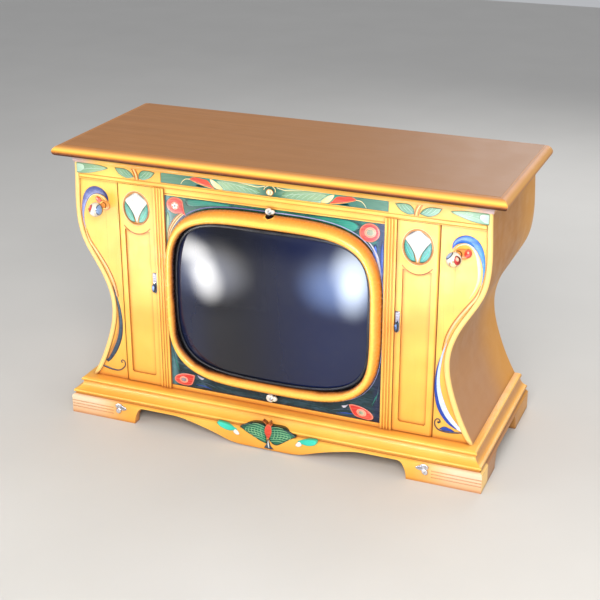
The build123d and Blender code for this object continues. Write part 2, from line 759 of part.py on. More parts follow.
def back_cover():
    """Hardboard back with rows of ventilation slots."""
    cover = between_sides(COVER_BACK - COVER_THICK, COVER_BACK, BODY_BOTTOM + 0.5, BODY_TOP - 0.5, 0.6)
    for level, count in ((520, 17), (470, 17), (150, 9)):
        for k in range(count):
            x = (k - (count - 1) / 2) * 22.0
            cover -= block(x - 2.5, x + 2.5, COVER_BACK - 10, COVER_BACK + 1, level - 16, level + 16)
    x, z = INLET
    cover -= block(x - 18.2, x + 18.2, COVER_BACK - 10, COVER_BACK + 1, z - 12.2, z + 12.2)
    return cover


def back_screws():
    screws = []
    for x in (-440, -220, 0, 220, 440):
        for z in (103.0, 624.0):
            y = COVER_BACK
            screws.append(turned_y([(0, y + 2.4), (3, y + 2.0), (5.0, y + 0.5), (5.0, y), (0, y)], x, z))
    return grouped(screws)


def mains_inlet():
    """Recessed two-pin inlet."""
    x, z = INLET
    body = block(x - 18, x + 18, COVER_BACK - 22, COVER_BACK + 2.6, z - 12, z + 12)
    body -= block(x - 14, x + 14, COVER_BACK - 14, COVER_BACK + 5, z - 8, z + 8)
    for side in (-1, 1):
        body += rod_y(x + side * 6, z, 2.0, COVER_BACK - 16, COVER_BACK - 1)
    return body


def antenna_terminals():
    x, z = AERIAL
    plate = block(x - 26, x + 26, COVER_BACK, COVER_BACK + 1.2, z - 11, z + 11)
    for side in (-1, 1):
        plate += rod_y(x + side * 12, z, 4.5, COVER_BACK + 1, COVER_BACK + 2.8)
    return plate


# ---- write every piece -------------------------------------------------------
def main():
    side = side_panel()
    wing = wing_panel()
    post = pilaster()
    right_door = door()
    plate = latch_plate()
    turn = latch_turn()
    knob = ball_knob()
    shaft = knob_shaft()
    front_board, side_left, side_right = plinth_boards()
    nodes = {
        "top_slab": top_slab(),
        "top_cove_moulding": top_cove_moulding(),
        "side_panel_left": mirrored(side),
        "side_panel_right": side,
        "bottom_board": bottom_board(),
        "frieze_board": frieze_board(),
        "upper_rail": upper_rail(),
        "lower_rail": lower_rail(),
        "wing_panel_left": mirrored(wing),
        "wing_panel_right": wing,
        "pilaster_left": mirrored(post),
        "pilaster_right": post,
        "spandrel_panel": spandrel_panel(),
        "plinth_moulding": plinth_moulding(),
        "plinth_front_board": front_board,
        "plinth_side_board_left": side_left,
        "plinth_side_board_right": side_right,
        "plinth_back_board": plinth_back_board(),
        "foot_clips": foot_clips(),
        "door_left": mirrored(right_door),
        "door_right": right_door,
        "door_pivots": door_pivots(),
        "latch_plate_left": mirrored(plate),
        "latch_plate_right": plate,
        "latch_turn_left": mirrored(turn),
        "latch_turn_right": turn,
        "bezel_ring": bezel_ring(),
        "tube_mask": tube_mask(),
        "picture_tube": picture_tube(),
        "tube_strap": tube_strap(),
        "inner_battens": inner_battens(),
        "deflection_yoke": deflection_yoke(),
        "tube_socket": tube_socket(),
        "anode_lead": anode_lead(),
        "turn_button_top": turn_button(BUTTON_TOP),
        "turn_button_bottom": turn_button(BUTTON_LOW),
        "turn_button_screws": turn_button_screws(),
        "volume_knob": mirrored(knob),
        "tuner_knob": knob,
        "volume_shaft": mirrored(shaft),
        "tuner_shaft": shaft,
        "knob_bushings": knob_bushings(),
        "potentiometers": potentiometers(),
        "tuner_unit": tuner_unit(),
        "control_box": control_box(),
        "speaker_box": speaker_box(),
        "speaker_cloth": speaker_cloth(),
        "loudspeaker": loudspeaker(),
        "chassis_pan": chassis_pan(),
        "valves": valves(),
        "power_transformer": power_transformer(),
        "filter_capacitors": filter_capacitors(),
        "flyback_cage": flyback_cage(),
        "back_cover": back_cover(),
        "back_screws": back_screws(),
        "mains_inlet": mains_inlet(),
        "antenna_terminals": antenna_terminals(),
    }
    for name, level in SERVICE_LEVELS.items():
        nodes["service_knob_" + name] = service_knob(level)
    os.makedirs("parts", exist_ok=True)
    for name, shape in nodes.items():
        export_step(shape, "parts/" + name + ".step")
    print(len(nodes), "nodes written")


main()
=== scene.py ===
"""Looks of a painted console tube television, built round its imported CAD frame.

Tables are in millimetres in the frame's own axes: +X is the viewer's right, -Y the front, +Z up.
"""
import math

import bmesh
import bpy
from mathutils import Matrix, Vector


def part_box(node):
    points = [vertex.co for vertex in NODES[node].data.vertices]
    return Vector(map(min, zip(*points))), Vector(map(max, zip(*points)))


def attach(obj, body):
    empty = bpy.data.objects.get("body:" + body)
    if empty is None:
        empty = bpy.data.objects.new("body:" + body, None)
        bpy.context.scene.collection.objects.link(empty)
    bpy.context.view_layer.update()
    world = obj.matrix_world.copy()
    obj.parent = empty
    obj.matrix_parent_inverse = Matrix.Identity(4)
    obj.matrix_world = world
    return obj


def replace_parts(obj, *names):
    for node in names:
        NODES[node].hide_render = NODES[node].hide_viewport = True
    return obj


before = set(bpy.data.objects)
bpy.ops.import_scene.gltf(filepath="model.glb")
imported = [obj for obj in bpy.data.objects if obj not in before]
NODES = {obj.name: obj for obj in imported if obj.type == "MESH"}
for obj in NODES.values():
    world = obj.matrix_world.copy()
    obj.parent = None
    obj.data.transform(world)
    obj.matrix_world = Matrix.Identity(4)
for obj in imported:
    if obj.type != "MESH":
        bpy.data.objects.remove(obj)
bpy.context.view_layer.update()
MM = 0.001

# ---- where things are, read from the frame -------------------------------------


def box(node):
    """Lowest and highest corner of a CAD node, in millimetres."""
    low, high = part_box(node)
    return low / MM, high / MM


RING_LOW, RING_HIGH = box("bezel_ring")
MASK_LOW, MASK_HIGH = box("tube_mask")
TUBE_LOW, TUBE_HIGH = box("picture_tube")
SCREEN_Z = (RING_LOW.z + RING_HIGH.z) / 2
RING_HALF = (RING_HIGH.x, (RING_HIGH.z - RING_LOW.z) / 2)
OPENING_HALF = (MASK_HIGH.x, (MASK_HIGH.z - MASK_LOW.z) / 2)
GLASS_HALF = (TUBE_HIGH.x, (TUBE_HIGH.z - TUBE_LOW.z) / 2)
SIGHT_HALF = (236.0, 182.5)   # half of the screen that the mask leaves open
FACE_RADIUS = 1200.0          # curvature of the glass face
OVAL_POWER = 4.3              # 2 is an ellipse, and more is squarer
RING_POWER = 3.7
FACE_CENTRE_Y = TUBE_LOW.y + FACE_RADIUS
SPANDREL_FRONT = box("spandrel_panel")[0].y
WING_FRONT = box("wing_panel_right")[0].y
DOOR_FRONT = box("door_right")[0].y
FRIEZE_FRONT = box("frieze_board")[0].y
APRON_FRONT = box("plinth_front_board")[0].y
OVAL = (343.0, 544.0)         # middle of a door's sunk oval
OVAL_FLOOR = DOOR_FRONT + 1.5
FIELD_FLOOR = DOOR_FRONT + 0.4
FIELD_LOW_Z = 615.9
FIELD_HIGH_Z = 639.8
FIELD_HALF = 274.6
FIELD_RADIUS = 5.0
KNOB_X = 432.0
KNOB_Z = 540.0
BALL_Y = -208.0
BALL_R = 17.0
SPEAKER = (344.0, 400.0)      # middle of the opening behind the cloth
SPEAKER_HALF = (40.0, 110.0)
CLOTH_FRONT = 0.6             # behind the front of the node that it replaces
CLOTH_THICK = 0.7
CLOTH_DENT = 1.0
BITE_GAP = 1.0                # between a turn-button and the ring
BITE_FRONT = -230.0           # clear of the ring's front
AROUND = 208                  # points round the screen's ovals


# ---- shaders -------------------------------------------------------------------
def colour(red, green, blue):
    """A display colour, 0 to 255, as linear light."""
    levels = []
    for level in (red, green, blue):
        level /= 255
        levels.append(level / 12.92 if level <= 0.04045 else ((level + 0.055) / 1.055) ** 2.4)
    return (*levels, 1.0)


class Finish:
    """A principled material, with short ways to wire nodes into it."""

    def __init__(self, name, **sockets):
        self.material = bpy.data.materials.new(name)
        self.material.use_nodes = True
        self.tree = self.material.node_tree
        self.shader = self.tree.nodes["Principled BSDF"]
        for socket, value in sockets.items():
            self.shader.inputs[socket.replace("_", " ")].default_value = value

    def feed(self, socket, value):
        if isinstance(value, bpy.types.NodeSocket):
            self.tree.links.new(value, socket)
        else:
            socket.default_value = value

    def node(self, kind, feeds, **settings):
        made = self.tree.nodes.new("ShaderNode" + kind)
        for key, value in settings.items():
            setattr(made, key, value)
        for place, value in feeds.items():
            self.feed(made.inputs[place], value)
        return made

    def place(self, stretch=(1, 1, 1), turn=(0, 0, 0)):
        """The frame's own coordinates, stretched."""
        where = self.node("TexCoord", {}).outputs["Object"]
        feeds = {"Vector": where, "Scale": stretch, "Rotation": turn}
        return self.node("Mapping", feeds).outputs["Vector"]

    def noise(self, scale, stretch=(1, 1, 1), detail=3.0, rough=0.5, warp=0.0, turn=(0, 0, 0)):
        feeds = {"Vector": self.place(stretch, turn), "Scale": scale, "Detail": detail,
                 "Roughness": rough, "Distortion": warp}
        return self.node("TexNoise", feeds).outputs[0]

    def math(self, operation, a, b=0.5):
        return self.node("Math", {0: a, 1: b}, operation=operation).outputs[0]

    def span(self, value, low, high, to_low=0.0, to_high=1.0):
        """A value's range from low to high, moved smoothly to another range."""
        feeds = {0: value, 1: low, 2: high, 3: to_low, 4: to_high}
        return self.node("MapRange", feeds, interpolation_type="SMOOTHSTEP").outputs[0]

    def mix(self, factor, a, b, blend="MIX"):
        made = self.node("Mix", {0: factor, 6: a, 7: b}, data_type="RGBA", blend_type=blend)
        return made.outputs[2]

    def ramp(self, value, stops):
        made = self.node("ValToRGB", {0: value})
        points = made.color_ramp.elements
        while len(points) < len(stops):
            points.new(0.5)
        for point, (position, shade) in zip(points, stops):
            point.position = position
            point.color = shade
        return made.outputs[0]

    def axis(self, name):
        where = self.node("TexCoord", {}).outputs["Object"]
        return self.node("SeparateXYZ", {0: where}).outputs[name]

    def corners(self, distance=0.012, power=1.4):
        """Painted shade: 1 in the open, falling to 0 in crevices."""
        made = self.node("AmbientOcclusion", {"Distance": distance}, samples=8)
        return self.math("POWER", made.outputs["AO"], power)

    def attribute(self, name):
        return self.node("Attribute", {}, attribute_name=name).outputs["Fac"]

    def finish(self, shade=None, rough=None, height=None, depth=0.0002):
        if shade is not None:
            self.feed(self.shader.inputs["Base Color"], shade)
        if rough is not None:
            self.feed(self.shader.inputs["Roughness"], rough)
        if height is not None:
            bump = self.node("Bump", {"Height": height, "Distance": depth, "Strength": 1.0})
            self.feed(self.shader.inputs["Normal"], bump.outputs[0])
        return self.material


ALONG_X = (0.06, 1, 1)
ALONG_Y = (1, 0.06, 1)
ALONG_Z = (1, 1, 0.06)


def lacquer(name, deep, body, bright, pore_and_corner_shade, grain=ALONG_Z, coat=0.1, rough=0.36, figure=0.1,
            reach=0.009, glaze=None, side_face_shade=None, end_highlight=None):
    """Clear-coated painted wood: soft clouds, faint grain, painted shade in the corners."""
    f = Finish(name, Coat_Weight=coat, Coat_Roughness=0.15, Specular_IOR_Level=0.3)
    clouds = f.noise(7.0, detail=2.0)
    shade = f.ramp(clouds, [(0.3, deep), (0.5, body), (0.7, bright)])
    streak = f.noise(90.0, grain, detail=5.0, rough=0.65, warp=0.4)
    pores = f.noise(420.0, grain, detail=2.0)
    shade = f.mix(f.span(streak, 0.45, 0.75, 0.0, figure), shade, deep, "MULTIPLY")
    shade = f.mix(f.span(pores, 0.6, 0.8, 0.0, figure * 0.3), shade, pore_and_corner_shade)
    if side_face_shade:
        low = f.span(f.axis("Z"), 0.38, 0.1, 0.0, 0.45)
        shade = f.mix(low, shade, colour(238, 168, 66))
        # Towards both ends, another colour as a painted highlight.
        if end_highlight:
            start, stop, tint = end_highlight
            shade = f.mix(f.span(f.math("ABSOLUTE", f.axis("X"), 0.0), start, stop), shade, tint)
        # Faces that look sideways get a darker tan, as painted shade.
        facing = f.node("SeparateXYZ", {0: f.node("TexCoord", {}).outputs["Normal"]}).outputs["X"]
        shade = f.mix(f.span(facing, 0.35, 0.8), shade, side_face_shade)
    # Painted shade: the glaze colour spread wide into corners, then the crevice colour deep in crevices; the
    # crevice colour also tints the pores.
    if reach:
        shade = f.mix(f.corners(0.05, 1.6), glaze or pore_and_corner_shade, shade)
    shade = f.mix(f.corners(reach or 0.012), pore_and_corner_shade, shade)
    gloss = f.span(f.noise(40.0), 0.3, 0.7, rough - 0.06, rough + 0.08)
    height = f.math("ADD", f.math("MULTIPLY", streak, 0.6), f.noise(160.0, detail=1.0))
    return f.finish(shade, gloss, height, 0.00012)


def enamel(name, start, end, rim, grain=ALONG_X, rough=0.22, edge=0.82):
    """Brushed enamel on raised relief: start to end along the stroke, another colour at the rim."""
    f = Finish(name, Coat_Weight=0.15, Coat_Roughness=0.08, Specular_IOR_Level=0.35)
    wander = f.noise(60.0, detail=2.0)
    along = f.math("ADD", f.attribute("tone"), f.span(wander, 0.3, 0.7, -0.12, 0.12))
    shade = f.ramp(along, [(0.05, start), (0.95, end)])
    brush = f.noise(350.0, grain, detail=3.0)
    shade = f.mix(f.span(brush, 0.4, 0.75, 0.0, 0.3), shade, rim)
    shade = f.mix(f.span(f.attribute("edge"), edge, edge + 0.14), shade, rim)
    gloss = f.span(brush, 0.3, 0.7, rough, rough + 0.12)
    return f.finish(shade, gloss, brush, 0.0001)


def metal(name, shade, dark, rough=0.25, grain=ALONG_Z, scale=300.0):
    f = Finish(name, Metallic=1.0)
    scratch = f.noise(scale, grain, detail=4.0)
    tarnish = f.noise(60.0, detail=4.0, rough=0.6)
    tint = f.mix(f.span(tarnish, 0.45, 0.75, 0.0, 0.6), shade, dark)
    # Painted shade in the crevices.
    tint = f.mix(f.corners(0.006), dark, tint)
    gloss = f.span(scratch, 0.3, 0.7, rough - 0.08, rough + 0.12)
    return f.finish(tint, gloss, scratch, 0.00004)


def plain(name, light, dark, rough, scale=180.0, depth=0.0001, grain=(1, 1, 1), **sockets):
    """Moulded, pressed or sprayed material with a fine mottle."""
    f = Finish(name, **sockets)
    mottle = f.noise(scale, grain, detail=4.0, rough=0.6)
    shade = f.mix(f.span(mottle, 0.35, 0.65), light, dark)
    # Painted shade in the corners.
    shade = f.mix(f.corners(0.01), dark, shade)
    gloss = f.span(f.noise(35.0), 0.3, 0.7, rough - 0.05, rough + 0.08)
    return f.finish(shade, gloss, mottle, depth)


HONEY = colour(246, 198, 88)
AMBER = colour(238, 176, 72)
LEMON = colour(250, 212, 104)
# Brown for the pores and for painted shade in crevices.
PORE_AND_SHADE_BROWN = colour(150, 80, 30)
# Orange for painted shade spread wide into corners.
CORNER_SHADE_ORANGE = colour(216, 132, 44)
# Painted shadow under the top's bullnose.
BULLNOSE_SHADOW = colour(62, 32, 16)


def front_wood(name, grain, end_highlight=None):
    # Darker tan for faces that look sideways, a painted shade.
    tan = colour(196, 148, 92)
    return lacquer(name, AMBER, HONEY, LEMON, PORE_AND_SHADE_BROWN, grain, glaze=CORNER_SHADE_ORANGE, side_face_shade=tan, end_highlight=end_highlight)


def top_wood():
    """Warm brown board whose bullnose edge carries a painted gold highlight over a painted shadow."""
    f = Finish("top_wood", Coat_Weight=0.05, Coat_Roughness=0.35, Specular_IOR_Level=0.2)
    streak = f.noise(55.0, ALONG_X, detail=6.0, rough=0.7, warp=0.6)
    fine = f.noise(300.0, ALONG_X, detail=3.0)
    board = f.ramp(streak, [(0.3, colour(158, 106, 58)), (0.55, colour(168, 114, 64)),
                            (0.75, colour(178, 124, 72))])
    board = f.mix(f.span(fine, 0.5, 0.75, 0.0, 0.12), board, colour(140, 90, 50))
    across = f.span(f.axis("X"), -0.4, 0.5)
    board = f.mix(f.math("MULTIPLY", across, 0.9), board, colour(150, 104, 62))
    # Painted light on the bullnose: dark brown shadow underneath, a gold highlight on its front, toned down
    # to tan where it faces sideways.
    edge = f.ramp(f.span(f.axis("Z"), 0.660, 0.684), [
        (0.0, BULLNOSE_SHADOW), (0.2, colour(120, 62, 22)), (0.45, colour(214, 140, 48)),
        (0.68, colour(250, 196, 84)), (0.86, colour(240, 180, 90)), (1.0, colour(190, 128, 72))])
    facing = f.node("SeparateXYZ", {0: f.node("TexCoord", {}).outputs["Normal"]}).outputs["X"]
    edge = f.mix(f.span(facing, 0.3, 0.8, 0.0, 0.75), edge, colour(186, 134, 84))
    level = f.span(f.axis("Z"), 0.6829, 0.6838)
    shade = f.mix(level, edge, board)
    gloss = f.span(f.noise(18.0, detail=1.0), 0.3, 0.7, 0.47, 0.51)
    return f.finish(shade, gloss, f.math("ADD", streak, f.math("MULTIPLY", fine, 0.4)), 0.0001)


def side_wood():
    """Ochre side, paler low down and along the front edge."""
    f = Finish("side_wood", Coat_Weight=0.05, Coat_Roughness=0.25, Specular_IOR_Level=0.25)
    streak = f.noise(60.0, ALONG_Y, detail=5.0, rough=0.65, warp=0.5)
    shade = f.ramp(streak, [(0.3, colour(170, 112, 42)), (0.55, colour(176, 118, 46)),
                            (0.75, colour(182, 124, 52))])
    low = f.span(f.axis("Z"), 0.5, 0.12)
    shade = f.mix(f.math("MULTIPLY", low, 0.6), shade, colour(180, 138, 108))
    rear = f.span(f.axis("Y"), 0.02, 0.2)
    shade = f.mix(f.math("MULTIPLY", rear, 0.8), shade, colour(212, 148, 50))
    front = f.span(f.axis("Y"), -0.166, -0.175)
    shade = f.mix(front, shade, colour(250, 206, 128))
    # Painted shade in the corners.
    shade = f.mix(f.corners(), colour(120, 70, 30), shade)
    return f.finish(shade, f.span(f.noise(20.0), 0.3, 0.7, 0.36, 0.48), streak, 0.00006)


def ring_wood():
    """Gold lacquer with painted light: painted shade on the inner edge, a painted highlight on the crest, and
    an orange outer slope.
    """
    f = Finish("ring_wood", Coat_Weight=0.3, Coat_Roughness=0.08, Specular_IOR_Level=0.35)
    across = f.math("ADD", f.attribute("tone"), f.span(f.noise(22.0), 0.3, 0.7, -0.03, 0.03))
    shade = f.ramp(across, [
        (0.0, colour(30, 18, 14)), (0.014, colour(96, 52, 24)), (0.05, colour(170, 100, 42)),
        (0.12, colour(222, 146, 62)), (0.22, colour(240, 174, 74)), (0.38, colour(248, 204, 88)),
        (0.54, colour(250, 206, 92)), (0.7, colour(240, 168, 72)), (0.95, colour(226, 144, 60))])
    streak = f.noise(120.0, detail=4.0)
    # Painted shade in the corners.
    shade = f.mix(f.corners(0.02, 0.7), colour(180, 100, 40), shade)
    # Painted shade on the inner wall, darkest deep in the opening.
    depth = f.span(f.axis("Y"), -0.197, -0.188)
    inner = f.span(f.attribute("tone"), 0.2, 0.1)
    shade = f.mix(f.math("MULTIPLY", depth, inner), shade, colour(20, 12, 12))
    return f.finish(shade, f.span(streak, 0.3, 0.7, 0.2, 0.3), f.noise(60.0, detail=1.0), 0.00003)


def field_enamel():
    """Brushed green and teal enamel behind the screen's ring."""
    f = Finish("enamel_green", Coat_Weight=0.15, Coat_Roughness=0.1, Specular_IOR_Level=0.4)
    stretch = (0.22, 1, 1)
    lean = (0, math.radians(-18), 0)
    brush = f.noise(70.0, stretch, detail=5.0, rough=0.6, warp=0.8, turn=lean)
    green = f.ramp(brush, [(0.25, colour(4, 38, 34)), (0.45, colour(8, 78, 62)), (0.6, colour(14, 104, 82)),
                           (0.8, colour(40, 140, 116))])
    deep = f.ramp(brush, [(0.3, colour(10, 26, 34)), (0.55, colour(20, 52, 60)),
                          (0.8, colour(60, 96, 120))])
    low = f.span(f.axis("Z"), 0.36, 0.22)
    shade = f.mix(low, green, deep)
    navy = f.span(f.axis("X"), 0.243, 0.257)
    shade = f.mix(navy, shade, colour(22, 34, 62))
    misty = f.span(f.axis("X"), -0.245, -0.262)
    shade = f.mix(f.math("MULTIPLY", misty, 0.7), shade, colour(96, 150, 158))
    # Painted shade in the corners.
    shade = f.mix(f.corners(0.009, 1.2), colour(8, 14, 22), shade)
    return f.finish(shade, f.span(brush, 0.3, 0.7, 0.2, 0.32), brush, 0.0002)


def frieze_enamel():
    """Painted frieze's ground: grey-green ends, deep teal under the lilies, pale towards the middle."""
    f = Finish("frieze_ground", Coat_Weight=0.1, Coat_Roughness=0.1, Specular_IOR_Level=0.4)
    brush = f.noise(90.0, (0.15, 1, 1), detail=4.0, warp=0.6)
    where = f.math("ABSOLUTE", f.axis("X"), 0.0)
    where = f.math("ADD", where, f.span(brush, 0.3, 0.7, -0.006, 0.006))
    shade = f.ramp(f.span(where, 0.0, 0.275), [
        (0.0, colour(30, 92, 76)), (0.08, colour(150, 190, 160)), (0.38, colour(168, 206, 176)),
        (0.5, colour(40, 150, 130)), (0.7, colour(22, 112, 100)), (0.84, colour(62, 112, 92)),
        (1.0, colour(84, 128, 104))])
    shade = f.mix(f.span(brush, 0.45, 0.75, 0.0, 0.4), shade, colour(20, 74, 64))
    return f.finish(shade, f.span(brush, 0.3, 0.7, 0.22, 0.34), brush, 0.0001)


def screen_glass():
    """Dark polished glass, bluer towards its sides, with a trace of dust."""
    f = Finish("screen_glass", IOR=1.54)
    side = f.span(f.axis("X"), -0.1, 0.16)
    shade = f.mix(side, colour(18, 20, 30), colour(18, 28, 66))
    left = f.span(f.axis("X"), -0.12, -0.22)
    shade = f.mix(f.math("MULTIPLY", left, 0.6), shade, colour(24, 34, 70))
    dust = f.noise(30.0, detail=5.0)
    return f.finish(f.mix(f.span(dust, 0.4, 0.8, 0.0, 0.1), shade, colour(50, 54, 66)),
                    f.span(dust, 0.3, 0.8, 0.03, 0.06))


def porcelain(name, patches=()):
    """Glazed white porcelain. Patches are (centre, direction, size, colour, rim colour) on a ball."""
    f = Finish(name, Coat_Weight=1.0, Coat_Roughness=0.04, Subsurface_Weight=0.15, Subsurface_Scale=0.003)
    cloud = f.noise(70.0, detail=2.0)
    shade = f.mix(f.span(cloud, 0.35, 0.7), colour(226, 222, 210), colour(206, 202, 192))
    where = f.node("TexCoord", {}).outputs["Object"]
    for centre, direction, size, tint, rim in patches:
        feeds = {0: where, 1: [c * MM for c in centre]}
        offset = f.node("VectorMath", feeds, operation="SUBTRACT").outputs[0]
        unit = f.node("VectorMath", {0: offset}, operation="NORMALIZE").outputs[0]
        facing = f.node("VectorMath", {0: unit, 1: Vector(direction).normalized()}, operation="DOT_PRODUCT")
        value = facing.outputs["Value"]
        shade = f.mix(f.span(value, size - 0.08, size - 0.04), shade, rim)
        shade = f.mix(f.span(value, size, size + 0.05), shade, tint)
    # Painted shade in the corners.
    shade = f.mix(f.corners(0.005), colour(130, 120, 110), shade)
    return f.finish(shade, f.span(cloud, 0.3, 0.7, 0.1, 0.16), f.noise(500.0), 0.00002)


def grille_cloth():
    """Plain weave of gold and brown threads."""
    f = Finish("grille_cloth", Sheen_Weight=0.3)
    turns = 2 * math.pi / 0.0016
    warp = f.math("SINE", f.math("MULTIPLY", f.axis("X"), turns))
    weft = f.math("SINE", f.math("MULTIPLY", f.axis("Z"), turns))
    over = f.math("MULTIPLY", warp, weft)
    height = f.math("MAXIMUM", f.math("ABSOLUTE", warp, 0.0), f.math("ABSOLUTE", weft, 0.0))
    shade = f.mix(f.span(over, -0.4, 0.4), colour(150, 112, 62), colour(206, 172, 104))
    fleck = f.noise(400.0, (1, 1, 0.1))
    shade = f.mix(f.span(fleck, 0.6, 0.75, 0.0, 0.5), shade, colour(240, 214, 140))
    return f.finish(shade, 0.75, height, 0.0004)


PAINTS = {
    "top_wood": top_wood(),
    "side_wood": side_wood(),
    "front_wood": front_wood("front_wood", ALONG_Z),
    "front_wood_across": front_wood("front_wood_across", ALONG_X),
    # Feet and cove take a painted highlight colour towards their ends.
    "foot_wood_with_painted_highlight": front_wood("foot_wood_with_painted_highlight", ALONG_X, (0.36, 0.47, colour(236, 214, 182))),
    "cove_wood_with_painted_highlight": front_wood("cove_wood_with_painted_highlight", ALONG_X, (0.43, 0.5, colour(190, 184, 196))),
    "ring_wood": ring_wood(),
    "enamel_green": field_enamel(),
    "frieze_ground": frieze_enamel(),
    "screen_glass": screen_glass(),
    "inner_wood": lacquer("inner_wood", colour(158, 112, 66), colour(186, 140, 88), colour(204, 160, 106),
                          colour(70, 44, 24), ALONG_X, coat=0.0, rough=0.6, figure=0.4),
    "hardboard": plain("hardboard", colour(122, 84, 52), colour(84, 56, 34), 0.7, 260.0, 0.0003),
    "mask": plain("mask", colour(34, 32, 36), colour(14, 13, 16), 0.38),
    "valve_glass": plain("valve_glass", colour(60, 66, 72), colour(20, 22, 24), 0.08, 40.0, 0.0,
                         Coat_Weight=1.0),
    "nickel": metal("nickel", colour(226, 226, 232), colour(110, 112, 122), 0.2),
    "blued": metal("blued", colour(84, 98, 126), colour(34, 40, 56), 0.22),
    "brass": metal("brass", colour(214, 172, 92), colour(120, 82, 34)),
    "steel": metal("steel", colour(170, 172, 176), colour(92, 92, 96), 0.35),
    "control_metal": metal("control_metal", colour(186, 182, 170), colour(110, 104, 92), 0.4),
    "transformer": plain("transformer", colour(70, 60, 52), colour(30, 26, 24), 0.5, 300.0, 0.0003),
    "yoke": plain("yoke", colour(130, 62, 30), colour(60, 30, 18), 0.45, 220.0, 0.0004, (1, 0.1, 1)),
    "rubber": plain("rubber", colour(38, 34, 34), colour(16, 14, 15), 0.6),
    "bakelite": plain("bakelite", colour(66, 34, 20), colour(28, 14, 10), 0.22, 90.0, 0.0, Coat_Weight=0.5),
    "grille_cloth": grille_cloth(),
    "dag": plain("dag", colour(44, 44, 46), colour(22, 22, 24), 0.7, 90.0, 0.0002),
    "porcelain": porcelain("porcelain"),
}
PAINTS["painted_porcelain"] = PAINTS["porcelain"]

# The start and the end of a stroke, and its rim.
ENAMELS = {
    "red": ((196, 44, 36), (226, 74, 60), (226, 134, 112)),
    "red_plain": ((196, 50, 36), (226, 80, 58), (206, 100, 64)),
    "drop": ((70, 26, 18), (216, 56, 56), (84, 40, 24)),
    "pink": ((226, 150, 124), (232, 120, 96), (240, 190, 160)),
    "olive": ((176, 184, 152), (120, 128, 110), (206, 196, 164)),
    "teal": ((12, 104, 88), (44, 150, 128), (12, 70, 58)),
    "turquoise": ((40, 190, 166), (70, 216, 192), (70, 170, 130)),
    "sage": ((116, 156, 124), (156, 186, 150), (98, 128, 92)),
    "mint": ((160, 198, 178), (190, 214, 194), (116, 150, 122)),
    "leaf": ((84, 138, 108), (128, 164, 128), (82, 108, 76)),
    "forest": ((20, 88, 70), (44, 122, 90), (16, 46, 40)),
    "vein": ((120, 190, 140), (176, 220, 160), (90, 160, 120)),
    "white": ((236, 236, 230), (226, 226, 220), (190, 188, 180)),
    "grey": ((120, 118, 132), (160, 150, 150), (90, 86, 96)),
    "cream": ((255, 244, 196), (250, 214, 144), (226, 176, 104)),
    "tan": ((214, 152, 84), (190, 122, 60), (128, 74, 36)),
    # A painted highlight, cream fading to yellow, inside the wings' crescents.
    "glow": ((246, 240, 214), (244, 226, 160), (246, 208, 110)),
    "apricot": ((232, 160, 84), (236, 150, 82), (206, 124, 60)),
    # A pink painted highlight on the knobs' red drops and red petals.
    "painted_highlight_pink": ((250, 206, 176), (240, 160, 140), (226, 110, 96)),
    "blush": ((246, 206, 130), (232, 184, 140), (214, 150, 96)),
    "rust": ((206, 120, 52), (170, 92, 40), (130, 66, 28)),
    "orange": ((255, 146, 60), (255, 184, 104), (228, 120, 56)),
    "blue": ((24, 80, 196), (80, 160, 236), (16, 28, 74)),
    "royal": ((40, 72, 156), (28, 66, 176), (24, 36, 90)),
    "lilac": ((190, 212, 255), (226, 236, 255), (120, 130, 150)),
    "slate": ((70, 96, 110), (44, 58, 84), (30, 34, 50)),
    "ink": ((52, 50, 64), (40, 62, 84), (26, 28, 40)),
    "silver": ((206, 206, 218), (176, 174, 194), (100, 98, 130)),
    "periwinkle": ((110, 112, 160), (170, 174, 220), (34, 34, 66)),
    "violet": ((30, 40, 104), (128, 142, 214), (24, 24, 60)),
}
for paint, shades in ENAMELS.items():
    PAINTS[paint] = enamel(paint, *[colour(*shade) for shade in shades])

for node_name, node in NODES.items():
    for place in node.material_slots:
        place.material = PAINTS.get(place.material.name.split(".")[0], place.material)

# Parts that differ from their slot: wood with its grain across, feet and cove with a painted highlight
# towards their ends, steel screws.
OWN_PAINT = {
    "upper_rail": "front_wood_across",
    "lower_rail": "front_wood_across",
    "frieze_board": "front_wood_across",
    "plinth_moulding": "front_wood_across",
    "plinth_front_board": "foot_wood_with_painted_highlight",
    "top_cove_moulding": "cove_wood_with_painted_highlight",
    "turn_button_screws": "steel",
}
for node_name, paint in OWN_PAINT.items():
    for place in NODES[node_name].material_slots:
        place.material = PAINTS[paint]

# Widths of the rounding along edges that the CAD leaves sharp.
EASED = {
    "door_left": 1.2, "door_right": 1.2, "wing_panel_left": 0.6, "wing_panel_right": 0.6,
    "plinth_front_board": 1.0, "plinth_side_board_left": 1.0, "plinth_side_board_right": 1.0,
    "plinth_back_board": 1.0, "upper_rail": 0.8, "lower_rail": 0.8, "frieze_board": 0.4,
    "pilaster_left": 0.8, "pilaster_right": 0.8, "back_cover": 0.4, "service_knob_upper": 0.3,
    "service_knob_middle": 0.3, "service_knob_lower": 0.3, "chassis_pan": 0.4, "power_transformer": 0.8,
}
for node_name, width in EASED.items():
    weld = NODES[node_name].modifiers.new("weld", "WELD")
    weld.merge_threshold = 0.01 * MM
    bevel = NODES[node_name].modifiers.new("eased edges", "BEVEL")
    bevel.width = width * MM
    bevel.segments = 2
    bevel.limit_method = "ANGLE"
    bevel.angle_limit = math.radians(40)
    bevel.harden_normals = True


# ---- mesh builders -------------------------------------------------------------
def add_piece(name, mesh, body, slot, *paints, smooth=True):
    """Put a finished mesh in the scene, on a CAD body."""
    for paint in paints:
        mesh.materials.append(PAINTS[paint])
    mesh.polygons.foreach_set("use_smooth", [smooth] * len(mesh.polygons))
    piece = bpy.data.objects.new(name, mesh)
    bpy.context.collection.objects.link(piece)
    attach(piece, body)
    return piece


